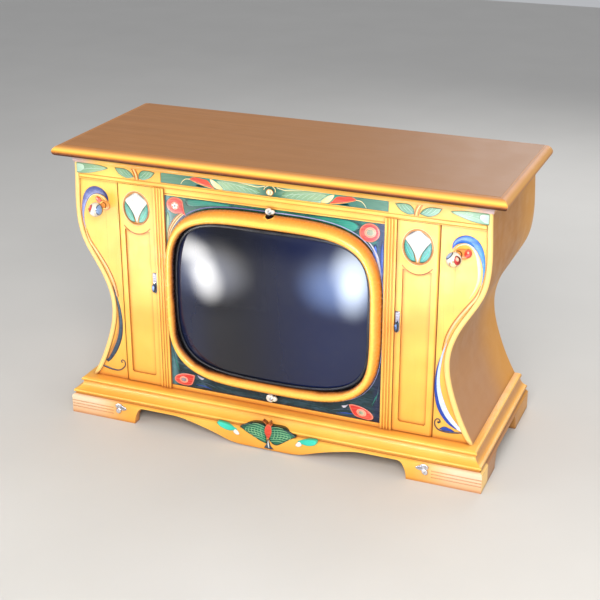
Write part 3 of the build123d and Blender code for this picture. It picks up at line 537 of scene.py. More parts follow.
def make_mesh(name, points, faces, tones=None, edges=None, slots=None):
    """A mesh from millimetres, with its paint attributes and with its faces turned outwards."""
    mesh = bpy.data.meshes.new(name)
    mesh.from_pydata([[c * MM for c in p] for p in points], [], faces)
    for label, values in (("tone", tones), ("edge", edges)):
        if values is not None:
            mesh.attributes.new(label, "FLOAT", "POINT").data.foreach_set("value", values)
    if slots is not None:
        mesh.polygons.foreach_set("material_index", slots)
    shape = bmesh.new()
    shape.from_mesh(mesh)
    bmesh.ops.recalc_face_normals(shape, faces=shape.faces)
    shape.to_mesh(mesh)
    shape.free()
    return mesh


def oval_point(half, angle, power=OVAL_POWER):
    """A point of the screen's squared oval, from its middle."""
    c = math.cos(angle)
    s = math.sin(angle)
    reach = (abs(c / half[0]) ** power + abs(s / half[1]) ** power) ** (-1 / power)
    return reach * c, reach * s


def loop_mesh(name, stations, closed=False, tones=None, caps=False):
    """A skin over rings of equal count. stations are lists of points."""
    count = len(stations[0])
    points = [p for ring in stations for p in ring]
    faces = []
    last = len(stations) if closed else len(stations) - 1
    for k in range(last):
        a = k * count
        b = (k + 1) % len(stations) * count
        for m in range(count):
            n = (m + 1) % count
            faces.append((a + m, a + n, b + n, b + m))
    if caps:
        faces.append(tuple(range(count)))
        faces.append(tuple(range(len(points) - count, len(points))))
    flat = None if tones is None else [t for t in tones for _ in range(count)]
    return make_mesh(name, points, faces, flat)


def screen_ring(between, y, outer=RING_HALF, inner=OPENING_HALF, outer_power=RING_POWER):
    """One ring of points between the opening and the outer outline. y may depend on (x, z)."""
    ring = []
    for k in range(AROUND):
        angle = 2 * math.pi * k / AROUND
        x0, z0 = oval_point(inner, angle)
        x1, z1 = oval_point(outer, angle, outer_power)
        x = x0 + (x1 - x0) * between
        z = z0 + (z1 - z0) * between
        ring.append((x, y(x, z) if callable(y) else y, z + SCREEN_Z))
    return ring


def lathe(name, profile, x, z, turns=64):
    """A turned closed shape about a line along Y. profile is (radius, y), from axis to axis."""
    points = []
    faces = []
    rows = []
    for radius, y in profile:
        if radius == 0:
            rows.append([len(points)])
            points.append((x, y, z))
            continue
        rows.append(list(range(len(points), len(points) + turns)))
        for k in range(turns):
            angle = 2 * math.pi * k / turns
            points.append((x + radius * math.cos(angle), y, z + radius * math.sin(angle)))
    for a, b in zip(rows, rows[1:]):
        for k in range(turns):
            n = (k + 1) % turns
            ring = [a[k % len(a)], a[n % len(a)], b[n % len(b)], b[k % len(b)]]
            faces.append(tuple(dict.fromkeys(ring)))
    tones = [i / (len(points) - 1) for i in range(len(points))]
    return make_mesh(name, points, faces, tones, [0.0] * len(points))


def curve_through(points, steps=6, closed=False):
    """Catmull-Rom points through tuples of any length. A repeated point makes a corner."""
    count = len(points)
    line = []
    for k in range(count if closed else count - 1):
        if closed:
            p0, p1, p2, p3 = (points[(k + d) % count] for d in (-1, 0, 1, 2))
        else:
            p0, p1, p2, p3 = (points[min(max(k + d, 0), count - 1)] for d in (-1, 0, 1, 2))
        if p1 == p2:
            continue
        for m in range(steps):
            t = m / steps
            line.append(tuple(
                0.5 * (2 * b + (c - a) * t + (2 * a - 5 * b + 4 * c - d) * t * t
                       + (3 * b - a - 3 * c + d) * t ** 3)
                for a, b, c, d in zip(p0, p1, p2, p3)))
    if not closed:
        line.append(tuple(points[-1]))
    return line


def flipped(side, points):
    """The same points on the side given, 1 for right and -1 for left."""
    return [(side * p[0], *p[1:]) for p in points]


def ellipse(x, z, half_w, half_h, lean=0.0, count=12):
    """An ellipse's outline, leaning by an angle in degrees."""
    turn = math.radians(lean)
    outline = []
    for k in range(count):
        angle = 2 * math.pi * k / count
        u = half_w * math.cos(angle)
        v = half_h * math.sin(angle)
        outline.append((x + u * math.cos(turn) - v * math.sin(turn),
                        z + u * math.sin(turn) + v * math.cos(turn)))
    return outline


def sharp(*points):
    """Points that are all corners."""
    return [p for p in points for _ in range(2)]


class Relief:
    """Low painted relief on one upright face, gathered into a single piece.

    root is how deep it goes into the face. Shapes are drawn for the right side, and side -1 mirrors them.
    """

    RINGS = ((1.0, 0.0), (1.0, 0.45), (0.95, 0.75), (0.84, 0.92), (0.62, 1.0), (0.3, 1.0))
    SECTION = ((-1.0, -0.4, 1.0), (-1.0, 0.4, 0.9), (-0.8, 0.78, 0.6), (-0.35, 1.0, 0.2),
               (0.35, 1.0, 0.2), (0.8, 0.78, 0.6), (1.0, 0.4, 0.9), (1.0, -0.4, 1.0))

    def __init__(self, face, root=0.4, side=1):
        self.face = face
        self.root = root
        self.side = side
        self.points = []
        self.faces = []
        self.slots = []
        self.tones = []
        self.edges = []
        self.paints = []

    def _slot(self, paint):
        if paint not in self.paints:
            self.paints.append(paint)
        return self.paints.index(paint)

    def petal(self, outline, paint, height=0.8, lift=0.0, steps=6):
        """A closed domed shape. Its first point is where the colour starts."""
        rim = curve_through(flipped(self.side, outline), steps, closed=True)
        count = len(rim)
        middle = (sum(p[0] for p in rim) / count, sum(p[1] for p in rim) / count)
        first = Vector(rim[0])
        axis = max((Vector(p) - first for p in rim), key=lambda v: v.length)
        base = len(self.points)
        for scale, rise in self.RINGS:
            depth = self.root if rise == 0 else -(lift + height * rise)
            for x, z in rim:
                spot = Vector((middle[0] + (x - middle[0]) * scale, middle[1] + (z - middle[1]) * scale))
                self.points.append((spot.x, self.face + depth, spot.y))
                self.tones.append((spot - first).dot(axis) / axis.length_squared)
                self.edges.append(scale)
        top = len(self.points)
        self.points.append((middle[0], self.face - lift - height, middle[1]))
        self.tones.append(0.5)
        self.edges.append(0.0)
        slot = self._slot(paint)
        made = [tuple(range(base, base + count))]
        for k in range(len(self.RINGS) - 1):
            for m in range(count):
                a = base + k * count + m
                b = base + k * count + (m + 1) % count
                made.append((a, b, b + count, a + count))
        inner = base + (len(self.RINGS) - 1) * count
        made += [(inner + m, inner + (m + 1) % count, top) for m in range(count)]
        self.faces += made
        self.slots += [slot] * len(made)

    def stroke(self, line, paint, height=0.7, lift=0.0, steps=6, closed=False):
        """A tapered rounded stroke through (x, z, width)."""
        run = curve_through(flipped(self.side, line), steps, closed)
        base = len(self.points)
        count = len(self.SECTION)
        total = len(run)
        for k, (x, z, width) in enumerate(run):
            before = run[k - 1] if k or closed else run[0]
            after = run[(k + 1) % total] if k < total - 1 or closed else run[-1]
            heading = Vector((after[0] - before[0], after[1] - before[1])).normalized()
            width = max(width, 0.15)
            rise = min(height, width * 0.45)
            for u, h, edge in self.SECTION:
                reach = u * width / 2
                depth = self.root if h < 0 else -(lift + rise * h)
                self.points.append((x - heading.y * reach, self.face + depth, z + heading.x * reach))
                self.tones.append(k / (total - 1))
                self.edges.append(edge)
        slot = self._slot(paint)
        made = []
        for k in range(total if closed else total - 1):
            a = base + k * count
            b = base + (k + 1) % total * count
            for m in range(count):
                n = (m + 1) % count
                made.append((a + m, a + n, b + n, b + m))
        if not closed:
            made.append(tuple(range(base, base + count)))
            made.append(tuple(range(base + (total - 1) * count, base + total * count)))
        self.faces += made
        self.slots += [slot] * len(made)

    def build(self, name, body, slot):
        mesh = make_mesh(name, self.points, self.faces, self.tones, self.edges, self.slots)
        return add_piece(name, mesh, body, slot, *self.paints)


# ---- screen --------------------------------------------------------------------
# The ring's profile: the share of the way from the opening to the rim, and y.
RING_SECTION = [
    (0.0, SPANDREL_FRONT), (0.0, -184.0), (0.012, -192.0), (0.05, -197.5), (0.11, -201.2), (0.2, -203.8),
    (0.3, -205.0), (0.42, -204.9), (0.54, -203.9), (0.66, -201.9), (0.77, -198.9), (0.87, -194.8),
    (0.94, -189.8), (0.985, -184.0), (1.0, -178.0), (1.0, SPANDREL_FRONT)]


def cylinder_cut(piece, x, z, radius, front, back):
    """Take a round bite out of a piece. The cut has the tone of the ring's outer slope."""
    profile = [(0, front), (radius, front), (radius, back), (0, back)]
    shape = lathe("bite", profile, x, z, 96)
    shape.attributes["tone"].data.foreach_set("value", [0.9] * len(shape.vertices))
    tool = bpy.data.objects.new("bite", shape)
    bpy.context.collection.objects.link(tool)
    cut = piece.modifiers.new("bite", "BOOLEAN")
    cut.object = tool
    cut.solver = "EXACT"
    bpy.context.view_layer.update()
    graph = bpy.context.evaluated_depsgraph_get()
    mesh = bpy.data.meshes.new_from_object(piece.evaluated_get(graph), preserve_all_data_layers=True,
                                           depsgraph=graph)
    piece.modifiers.remove(cut)
    piece.data = mesh
    bpy.data.objects.remove(tool)


def build_ring():
    """Wooden ring round the screen, cut back round the turn-buttons."""
    stations = [screen_ring(t, y) for t, y in RING_SECTION]
    mesh = loop_mesh("ring", stations, closed=True, tones=[t for t, _ in RING_SECTION])
    ring = add_piece("screen_ring", mesh, "cabinet", "ring_wood", "ring_wood")
    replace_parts(ring, "bezel_ring")
    for node_name in ("turn_button_top", "turn_button_bottom"):
        low, high = box(node_name)
        reach = (high.x - low.x) / 2 + BITE_GAP
        cylinder_cut(ring, 0, (low.z + high.z) / 2, reach, BITE_FRONT, high.y + 0.6)


def on_face(radius):
    """Height of the curved face over the (x, z) plane, at a given radius of curvature."""
    return lambda x, z: FACE_CENTRE_Y - math.sqrt(radius * radius - x * x - z * z)


def build_mask():
    """Thin mask that lies on the glass, from the ring's opening to the screen that shows."""
    front = on_face(FACE_RADIUS + 4.6)
    back = on_face(FACE_RADIUS + 0.5)
    section = [(0.0, front), (0.5, front), (0.93, front), (0.975, on_face(FACE_RADIUS + 4.0)),
               (1.0, on_face(FACE_RADIUS + 2.6)), (1.0, back), (0.5, back), (0.0, back)]
    outer = (OPENING_HALF[0] - 0.2, OPENING_HALF[1] - 0.2)
    stations = [screen_ring(1 - t, y, outer, SIGHT_HALF, OVAL_POWER) for t, y in section]
    mesh = loop_mesh("mask", stations, closed=True)
    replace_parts(add_piece("screen_mask", mesh, "cabinet", "mask", "mask"), "tube_mask")


def build_tube():
    """Glass bulb: spherical face, skirt, coated funnel and neck."""
    face = on_face(FACE_RADIUS)
    stations = []
    for scale in (0.04, 0.15, 0.3, 0.45, 0.6, 0.72, 0.82, 0.9, 0.955, 0.985, 0.996):
        ring = []
        for k in range(AROUND):
            angle = 2 * math.pi * k / AROUND
            x, z = oval_point(GLASS_HALF, angle, 2.0 + (OVAL_POWER - 2.0) * scale)
            ring.append((x * scale, face(x * scale, z * scale), z * scale + SCREEN_Z))
        stations.append(ring)
    skirt = len(stations)
    back = TUBE_HIGH.y
    rim = GLASS_HALF[0]
    skirt_front = -190.0
    skirt_step = 4.0
    # The skirt, the funnel and the neck: half width, half height, squareness and y.
    for half_w, half_h, power, y in (
            (rim, GLASS_HALF[1], OVAL_POWER, -150.0), (rim, GLASS_HALF[1], OVAL_POWER, -128.0),
            (rim - 3, GLASS_HALF[1] - 3, 4.1, -121.0), (198.0, 157.0, 3.6, -92.0),
            (150.0, 123.0, 2.8, -52.0), (98.0, 86.0, 2.3, -8.0), (50.0, 50.0, 2.0, 30.0),
            (26.0, 26.0, 2.0, 48.0), (14.5, 14.5, 2.0, 60.0), (14.5, 14.5, 2.0, back - 4),
            (12.0, 12.0, 2.0, back - 0.5), (2.0, 2.0, 2.0, back)):
        outline = (oval_point((half_w, half_h), 2 * math.pi * k / AROUND, power) for k in range(AROUND))
        stations.append([(x, y, z + SCREEN_Z) for x, z in outline])
    stations[skirt] = [(x, max(face(x, z - SCREEN_Z) + skirt_step, skirt_front), z)
                       for x, _, z in stations[skirt]]
    mesh = loop_mesh("tube", stations, caps=True)
    tube = add_piece("picture_tube_glass", mesh, "cabinet", "screen_glass", "screen_glass", "dag",
                     "valve_glass")
    coating_from = -126.0
    neck_from = 36.0
    for polygon in mesh.polygons:
        middle = polygon.center.y / MM
        if middle > coating_from:
            polygon.material_index = 1 if middle < neck_from else 2
    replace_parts(tube, "picture_tube")


def spandrel_bead():
    """Bright bead in the gap between the ring and the green field."""
    bead = Relief(SPANDREL_FRONT)
    half = (RING_HALF[0] + 1.2, RING_HALF[1] + 5.0)
    count = 96
    line = []
    for k in range(count):
        x, z = oval_point(half, 2 * math.pi * (k / count + 0.25), RING_POWER)
        wider = (z > 150 or x < 0) and abs(x) < 240
        line.append((x, z + SCREEN_Z, 2.5 if wider else 1.6))
    bead.stroke(line, "periwinkle", 1.0, steps=2, closed=True)
    bead.build("spandrel_bead", "cabinet", "enamel_green")


build_ring()
build_mask()
build_tube()
spandrel_bead()


# ---- spandrel flowers ----------------------------------------------------------
def spandrel_flowers():
    """Four poppies in the corners of the green field, with stems, leaves and buds."""
    r = Relief(SPANDREL_FRONT)
    # Soft brushed leaves behind the flowers.
    r.petal([(-214, 580), (-200, 583), (-150, 584), (-92, 580), (-150, 574), (-205, 566)], "teal", 0.5)
    r.petal([(80, 580), (130, 584), (190, 582), (210, 570), (190, 556), (160, 566)], "teal", 0.5)
    r.petal([(246, 536), (250, 520), (252, 480), (250, 440), (245, 480), (240, 520)], "blue", 0.7)
    r.petal([(262, 545), (264, 520), (264, 470), (262, 430), (259, 480), (258, 520)], "royal", 0.5)
    r.petal([(-262, 545), (-258, 530), (-262, 500), (-266, 470), (-267, 500), (-266, 530)], "sage", 0.5)
    # Stems that follow the ring.
    for shift, paint in ((0.0, "cream"), (3.6, "tan"), (7.0, "cream"), (10.4, "rust")):
        r.stroke([(-219 - shift, 546, 1.6), (-232 - shift, 534, 2.0), (-244 - shift * 0.9, 519, 2.0),
                (-255 - shift * 0.7, 500, 1.8), (-261 - shift * 0.4, 478, 1.0)], paint, 0.7)
    r.stroke([(228, 541, 1.2), (240, 528, 4.0), (250, 508, 6.0), (257, 480, 5.0), (261, 450, 2.0)], "silver",
            0.9)
    # Upper left poppy, a drop with its tip down to the right.
    r.petal([(-215, 541), (-215, 541), (-226, 546), (-244, 544), (-259, 552), (-264, 566), (-254, 580),
            (-238, 583), (-224, 578), (-221, 566), (-219, 554)], "red", 1.0, 0.4)
    r.petal(ellipse(-242, 563, 9.5, 9.0), "pink", 0.6, 1.2)
    for k in range(5):
        angle = 2 * math.pi * k / 5 + 0.4
        x = -242 + 4.6 * math.cos(angle)
        z = 563 + 4.6 * math.sin(angle)
        r.petal(ellipse(x, z, 3.4, 2.6, math.degrees(angle)), "white", 0.5, 1.7)
    r.petal(ellipse(-242, 563, 2.4, 2.4), "grey", 0.6, 2.0)
    # Upper right poppy, round with a light ring.
    r.petal(ellipse(232, 561, 24, 21.5, 20), "red", 1.0, 0.4)
    r.petal(ellipse(234, 562, 13.5, 12, 20), "pink", 0.5, 1.3)
    r.petal(ellipse(234, 562, 9.5, 8, 20), "olive", 0.5, 1.6)
    for k in range(6):
        angle = math.pi * k / 3
        r.stroke([(234 + 2 * math.cos(angle), 562 + 2 * math.sin(angle), 0.8),
                (234 + 8 * math.cos(angle), 562 + 7 * math.sin(angle), 0.5)], "grey", 0.4, 2.0)
    # Lower left poppy.
    r.petal([(-206, 135), (-206, 135), (-222, 136), (-240, 134), (-257, 126), (-261, 114), (-250, 106),
            (-232, 104), (-216, 108), (-209, 121)], "red", 1.0, 0.4)
    r.petal(ellipse(-236, 119, 11, 8), "pink", 0.5, 1.2)
    r.petal(ellipse(-236, 119, 6.5, 4.8), "grey", 0.6, 1.5)
    # Lower right poppy.
    r.petal([(190, 134), (190, 134), (201, 136), (222, 133), (242, 124), (251, 112), (244, 104), (226, 104),
            (206, 108), (196, 120)], "red", 1.0, 0.4)
    r.petal(ellipse(222, 119, 12, 8.5, -12), "pink", 0.5, 1.2)
    r.petal(ellipse(222, 119, 7, 5, -12), "olive", 0.5, 1.5)
    # Long strokes in the lower corners, and pale buds beside the ring.
    for r.side in (-1, 1):
        for x0, z0, x1, z1, paint in ((150, 112, 196, 122, "slate"), (160, 106, 204, 111, "royal"),
                                      (256, 150, 264, 205, "slate"), (246, 140, 262, 178, "teal")):
            r.stroke([(x0, z0, 0.6), ((x0 + x1) / 2, (z0 + z1) / 2 + 1.5, 2.4), (x1, z1, 0.6)], paint, 0.5)
    r.petal([(172, 128), (172, 128), (182, 130), (189, 134), (183, 125), (176, 123)], "silver", 0.8)
    r.petal([(-180, 131), (-180, 131), (-190, 133), (-200, 137), (-194, 129), (-186, 126)], "silver", 0.6)
    r.build("spandrel_flowers", "cabinet", "enamel_green")


# ---- frieze --------------------------------------------------------------------
def frieze_leaves():
    """Leaves over the doors, and lilies on both sides of a bud in the sunk field."""
    r = Relief(FRIEZE_FRONT)
    for r.side in (-1, 1):
        # Pair of leaves on a double stem, over each door.
        r.petal([(344, 620), (344, 620), (352, 631), (368, 638), (394, 638), (394, 638), (384, 624),
                (364, 616)], "leaf")
        r.petal([(332, 618), (332, 618), (318, 616), (300, 624), (289, 637), (289, 637), (306, 640),
                (322, 638), (331, 629)], "leaf")
        for k in range(3):
            r.stroke([(348 + 9 * k, 621, 0.4), (357 + 9 * k, 628, 0.9), (364 + 9 * k, 636, 0.4)], "mint",
                    0.3, 0.7)
            r.stroke([(328 - 9 * k, 621, 0.4), (320 - 9 * k, 628, 0.9), (311 - 7 * k, 636, 0.4)], "mint",
                    0.3, 0.7)
        r.stroke([(350, 640, 1.2), (344, 628, 1.8), (341, 615, 1.6)], "rust", 0.7, 0.4)
        r.stroke([(345, 640, 1.2), (339, 628, 2.0), (336.5, 615, 1.6)], "cream", 0.8, 0.4)
        r.stroke([(340, 640, 1.0), (335, 628, 1.6), (332.5, 615, 1.2)], "rust", 0.7, 0.4)
        # Pale leaf at the outer end, with a mint painted highlight in its outer corner.
        r.petal([(497, 614), (497, 614), (497, 639.5), (497, 639.5), (462, 640), (436, 639), (412, 634),
                (436, 624), (468, 616)], "sage")
        r.petal([(496, 616), (496, 616), (496, 638), (496, 638), (478, 637), (474, 628), (484, 619)], "mint",
                0.5, 0.7)
        r.stroke([(424, 631, 0.8), (455, 629, 1.6), (489, 622, 0.8)], "mint", 0.5, 0.7)
        for k in range(4):
            x = 440 + 12 * k
            r.stroke([(x, 630 - k, 0.5), (x + 8, 635 - 2 * k, 0.8)], "mint", 0.4, 0.8)
    r.build("frieze_end_leaves", "cabinet", "frieze_wood")

    c = Relief(FIELD_FLOOR)
    for c.side in (-1, 1):
        # Calla lily with a curling stem.
        c.stroke([(224, 617, 1.2), (219, 625, 1.6), (211, 631, 1.8), (200, 632, 2.0)], "cream", 0.7)
        c.petal([(203, 633), (203, 633), (190, 638.6), (172, 637), (155, 634), (144, 622), (136, 616.5),
                (136, 616.5), (150, 619), (170, 624), (188, 628)], "red_plain", 0.9)
        c.stroke([(200, 631, 0.6), (180, 625, 1.6), (160, 620, 1.8), (140, 616.5, 1.0)], "orange", 0.7, 0.5)
        c.petal([(150, 638), (140, 636), (128, 628), (118, 617), (132, 617), (143, 624)], "cream", 0.8, 0.2)
        c.petal([(185, 622), (170, 621), (152, 617), (190, 617)], "turquoise", 0.5)
        # Long pale leaf towards the middle.
        c.petal([(22, 617), (22, 617), (60, 617), (100, 617), (118, 620), (128, 630), (136, 637), (100, 639),
                (60, 637), (30, 630)], "sage", 0.7)
        for k in range(7):
            x = 34 + 13 * k
            c.stroke([(x, 618, 0.5), (x + 8, 624 + k * 0.4, 0.9), (x + 20, 630 + k, 0.5)], "mint", 0.4, 0.6)
        c.stroke([(26, 621, 0.6), (70, 630, 1.2), (120, 637, 0.6)], "mint", 0.5, 0.6)
        c.stroke([(14, 638, 1.4), (34, 634, 1.6), (56, 636, 1.2), (80, 639, 0.8)], "cream", 0.7, 0.3)
        c.petal([(268, 637), (240, 638.5), (220, 637), (232, 632), (256, 630)], "leaf", 0.4)
    # Bud in the middle.
    c.petal([(0, 639), (9, 634), (12, 626), (8, 618), (0, 616.2), (-10, 618), (-14, 626), (-10, 634)],
            "forest", 0.5)
    c.petal(ellipse(-3, 625, 9.5, 8.2), "rust", 0.7, 0.3)
    c.petal(ellipse(-3, 625, 8.0, 7.2), "cream", 0.7, 0.6)
    c.stroke([(-3, 632, 0.6), (-1, 625, 1.4), (-3, 618, 0.6)], "ink", 0.4, 1.1)
    c.petal(ellipse(-5.5, 625, 1.8, 5.0, 8), "white", 0.5, 1.0)
    c.stroke([(4, 639.5, 1.2), (10, 634, 1.6), (11, 627, 1.2)], "cream", 0.6, 0.8)
    c.stroke([(-6, 639.5, 1.2), (-14, 635, 1.6), (-17, 629, 1.2)], "cream", 0.6, 0.8)
    c.build("frieze_lilies", "cabinet", "frieze_wood")


def frieze_ground():
    """Thin painted panel let into the sunk field of the frieze, rounder in its upper corners."""
    thick = 0.5
    upper = FIELD_RADIUS
    lower = 1.0
    outline = []
    top = FIELD_HIGH_Z - upper
    foot = FIELD_LOW_Z + lower
    for way, end, radius, start in ((1, top, upper, 0), (-1, top, upper, 90), (-1, foot, lower, 180),
                                    (1, foot, lower, 270)):
        middle = way * (FIELD_HALF - radius)
        for k in range(5):
            angle = math.radians(start + 90 * k / 4)
            outline.append((middle + radius * math.cos(angle), end + radius * math.sin(angle)))
    stations = [[(x, y, z) for x, z in outline] for y in (FIELD_FLOOR, FIELD_FLOOR - thick)]
    mesh = loop_mesh("ground", stations, caps=True)
    add_piece("frieze_ground", mesh, "cabinet", "frieze_wood", "frieze_ground", smooth=False)


# ---- doors ---------------------------------------------------------------------
def door_oval(side, body, name):
    """Tulip between two leaves in a gilded oval, and an arc under it."""
    x, z = OVAL
    r = Relief(OVAL_FLOOR, side=side)
    r.petal([(x - 29, z + 8), (x - 20, z + 28), (x - 3, z + 36), (x + 16, z + 30), (x + 29, z + 12),
            (x + 10, z + 16), (x - 12, z + 14)], "grey", 0.4)
    r.petal([(x, z - 37), (x, z - 37), (x + 7, z - 18), (x + 19, z + 2), (x + 30, z + 17), (x + 15, z + 29),
            (x, z + 40), (x, z + 40), (x - 15, z + 29), (x - 30, z + 17), (x - 19, z + 2), (x - 7, z - 18)],
            "white", 1.0, 0.2)
    for way in (-1, 1):
        leaf = [(x + way * 30, z + 17), (x + way * 30, z + 17), (x + way * 20, z + 3), (x + way * 10, z - 13),
                (x + way * 3.5, z - 35), (x + way * 3.5, z - 35), (x + way * 16, z - 33),
                (x + way * 27, z - 20), (x + way * 31.5, z - 1)]
        r.petal(leaf, "teal", 0.9, 0.4)
        r.stroke([(x + way * 29, z + 6, 0.6), (x + way * 22, z - 12, 1.4), (x + way * 9, z - 31, 0.6)],
                "turquoise", 0.4, 1.3)
        r.stroke([(x + way * 4, z + 34, 0.5), (x + way * 9, z + 12, 1.0), (x + way * 3, z - 16, 0.5)],
                "grey", 0.3, 1.1)
    r.build(name + "_tulip", body, "front_wood")
    g = Relief(DOOR_FRONT)
    hoop = [(px, pz, 3.0) for px, pz in ellipse(side * x, z, 33.4, 39.4, count=36)]
    g.stroke(hoop, "tan", 1.5, closed=True, steps=3)
    hoop = [(px, pz, 1.2) for px, pz in ellipse(side * x, z, 36.0, 42.0, count=36)]
    g.stroke(hoop, "cream", 0.6, closed=True, steps=3)
    arc = []
    for k in range(13):
        angle = math.radians(226 + 88 * k / 12)
        arc.append((side * (x + 49.5 * math.cos(angle)), z + 63.5 * math.sin(angle), 1.8))
    g.stroke(arc, "rust", 0.6, steps=3)
    g.build(name + "_gilding", body, "front_wood")


# ---- wings ---------------------------------------------------------------------
def wing_paint(side):
    """Crescent over the knob with a painted highlight inside it, its tail down the serpentine edge, a swoosh
    and a scroll.
    """
    name = "right" if side > 0 else "left"
    r = Relief(WING_FRONT, side=side)
    upper = "blue" if side > 0 else "violet"
    crescent = [(418.5, 550, 0.8), (423, 562, 8), (433, 571, 14), (449, 575.5, 18), (465, 570, 18.5),
                (477, 557, 15), (485, 538, 10), (489, 515, 5.5), (488.5, 495, 2.4), (485, 474, 1.4)]
    r.stroke(crescent, upper, 1.0)
    # The glow strokes are a painted highlight inside the crescent.
    if side > 0:
        r.stroke([(425, 551, 0.5), (434, 560, 2.2), (449, 564, 3.6), (462, 558, 4.6), (472, 543, 6.5),
                (478, 521, 8.5), (480, 497, 8.0), (475, 471, 5.0), (460, 440, 0.6)], "glow", 0.5)
    else:
        r.stroke([(425, 551, 0.5), (434, 560, 1.6), (449, 564, 2.0), (463, 560, 1.8), (474, 546, 1.4),
                (481, 524, 0.8)], "glow", 0.5)
    r.stroke([(487, 482, 1.4), (477, 446, 4.0), (455, 414, 5.0), (433, 380, 5.0), (418, 345, 4.0),
            (410, 310, 1.6)], "blush", 0.7)
    r.stroke([(484, 474, 1.2), (472, 446, 1.5), (449.5, 414, 1.5), (427, 378, 1.5), (413, 345, 1.6),
            (406, 310, 1.2)], "rust", 0.7, 0.3)
    if side > 0:
        r.stroke([(416, 330, 0.6), (408, 302, 3.5), (402, 268, 6.0), (400, 238, 8.0), (403, 210, 10.5),
                (411, 182, 13.0), (422, 158, 13.5), (437, 138, 12.0), (454, 123, 8.0), (466, 117, 2.0)],
                "lilac", 0.9)
        r.stroke([(403, 292, 0.6), (397, 262, 3.0), (395, 232, 4.0), (397, 202, 6.5), (404, 172, 8.0),
                (416, 150, 8.0), (431, 133, 6.5), (448, 122, 2.0)], "royal", 0.9, 0.5)
        r.petal([(408, 115), (408, 115), (418, 122.5), (430, 121), (443, 114.5), (430, 113), (418, 112.5)],
                "royal", 0.8, 0.2)
        # The scroll's curl stays on the wing, clear of the door.
        r.stroke([(465, 116, 1.4), (448, 112.5, 3.6), (425, 110, 3.6), (408, 112, 3.0), (401, 117, 2.6),
                (397, 125, 2.4), (397.5, 134, 2.2), (402.5, 139.5, 2.2), (408, 137.5, 2.2), (409, 132, 2.4),
                (405.5, 130, 2.6)], "ink", 1.0, 0.2)
        r.petal(ellipse(405.5, 131, 2.6, 2.6), "ink", 1.1, 0.2)
    else:
        r.stroke([(420, 338, 0.8), (411, 305, 5.0), (405, 268, 9.0), (405, 232, 12.0), (411, 200, 14.5),
                (425, 168, 15.5), (440, 143, 13.0), (449, 131, 8.0)], "ink", 0.7)
        r.stroke([(416, 322, 0.6), (407.5, 290, 3.5), (403.5, 258, 6.0), (405, 228, 8.0), (412, 196, 10.0),
                (427, 163, 11.0), (442, 139, 8.0), (447, 133, 3.5)], "slate", 0.7, 0.5)
        r.stroke([(409, 262, 0.6), (410, 232, 3.0), (417, 200, 4.6), (430, 170, 5.0), (443, 145, 4.0),
                (448, 137, 1.0)], "tan", 0.6, 1.0)
        r.stroke([(468, 118, 3.0), (452, 114, 5.0), (433, 110.5, 3.8), (416, 111, 2.8), (403, 120, 2.4),
                (397.5, 130, 2.2), (400, 138.5, 2.0), (406, 140.5, 2.0), (408.5, 136, 2.4),
                (405.5, 133.5, 2.4)], "ink", 1.0, 0.2)
    r.build("wing_paint_" + name, "cabinet", "front_wood")


# ---- apron ---------------------------------------------------------------------
def apron_leaves():
    """Two veined leaves with a red bud between them, and a small leaf and bud on each side."""
    r = Relief(APRON_FRONT, root=16.0)
    left = [(-64, 51), (-64, 51), (-46, 62), (-25, 67), (-3, 66), (1, 52), (4, 36), (5, 18), (5, 18),
            (-12, 23), (-30, 32), (-48, 40)]
    right = [(10, 65), (22, 66), (45, 66), (64, 60), (79, 51), (79, 51), (62, 40), (44, 27), (30, 19),
             (18, 22), (10, 34), (12, 50)]
    for outline, turn in ((left, -1), (right, 1)):
        r.petal(outline, "forest", 1.0)
        v = Relief(APRON_FRONT - 1.0)
        cx = 8 + turn * 8
        for k in range(7):
            z = 26 + 6 * k
            reach = 20 + 30 * math.sin(math.pi * (k + 1) / 8)
            v.stroke([(cx - turn * 2, z, 0.7), (cx + turn * reach * 0.5, z + 5, 1.3),
                    (cx + turn * reach, z + 4, 0.5)], "vein", 0.5)
        for k in range(6):
            x = cx + turn * (8 + 8 * k)
            v.stroke([(x, 62 - 2 * k, 0.6), (x + turn * 2, 50 - k, 1.1), (x - turn * 2, 34 + 1.5 * k, 0.6)],
                    "vein", 0.45)
        v.build("apron_veins_" + ("left" if turn < 0 else "right"), "cabinet", "front_wood")
    for r.side, tip in ((-1, 0), (1, 12)):
        leaf = [(72 + tip, 40), (80 + tip, 46), (98 + tip, 51), (120 + tip * 0.7, 53), (124 + tip * 0.7, 47),
                (112 + tip, 38), (92 + tip, 34)]
        r.petal(leaf, "turquoise", 0.8)
        bud = [(66 + tip, 29), (74 + tip, 27), (82 + tip, 33), (77 + tip, 41), (70 + tip, 37)]
        r.petal(bud, "white", 0.8, 0.3)
    r.build("apron_leaves", "cabinet", "front_wood")
    t = Relief(APRON_FRONT, root=12.0)
    t.petal([(9, 31), (9, 31), (1, 44), (0, 56), (4, 67), (10, 70), (16, 67), (18, 56), (16, 44)],
            "red_plain", 1.5, 0.4)
    t.petal([(8, 33), (14, 16), (22, 6.5), (22, 6.5), (10, 5.5), (-2, 7), (-2, 7), (4, 18)], "slate", 1.1,
            0.2)
    t.stroke([(9, 28, 0.8), (9, 18, 3.0), (11, 8, 1.2)], "white", 0.6, 1.2)
    t.stroke([(6, 66, 1.0), (2, 72, 1.4), (-6, 77, 0.8)], "rust", 0.8, 0.4)
    t.stroke([(13, 66, 1.0), (14, 72, 1.4), (12, 78, 0.8)], "rust", 0.8, 0.4)
    t.build("apron_bud", "cabinet", "front_wood")


spandrel_flowers()
frieze_ground()
frieze_leaves()
door_oval(-1, "left_door", "left_door")
door_oval(1, "right_door", "right_door")
wing_paint(-1)
wing_paint(1)
apron_leaves()


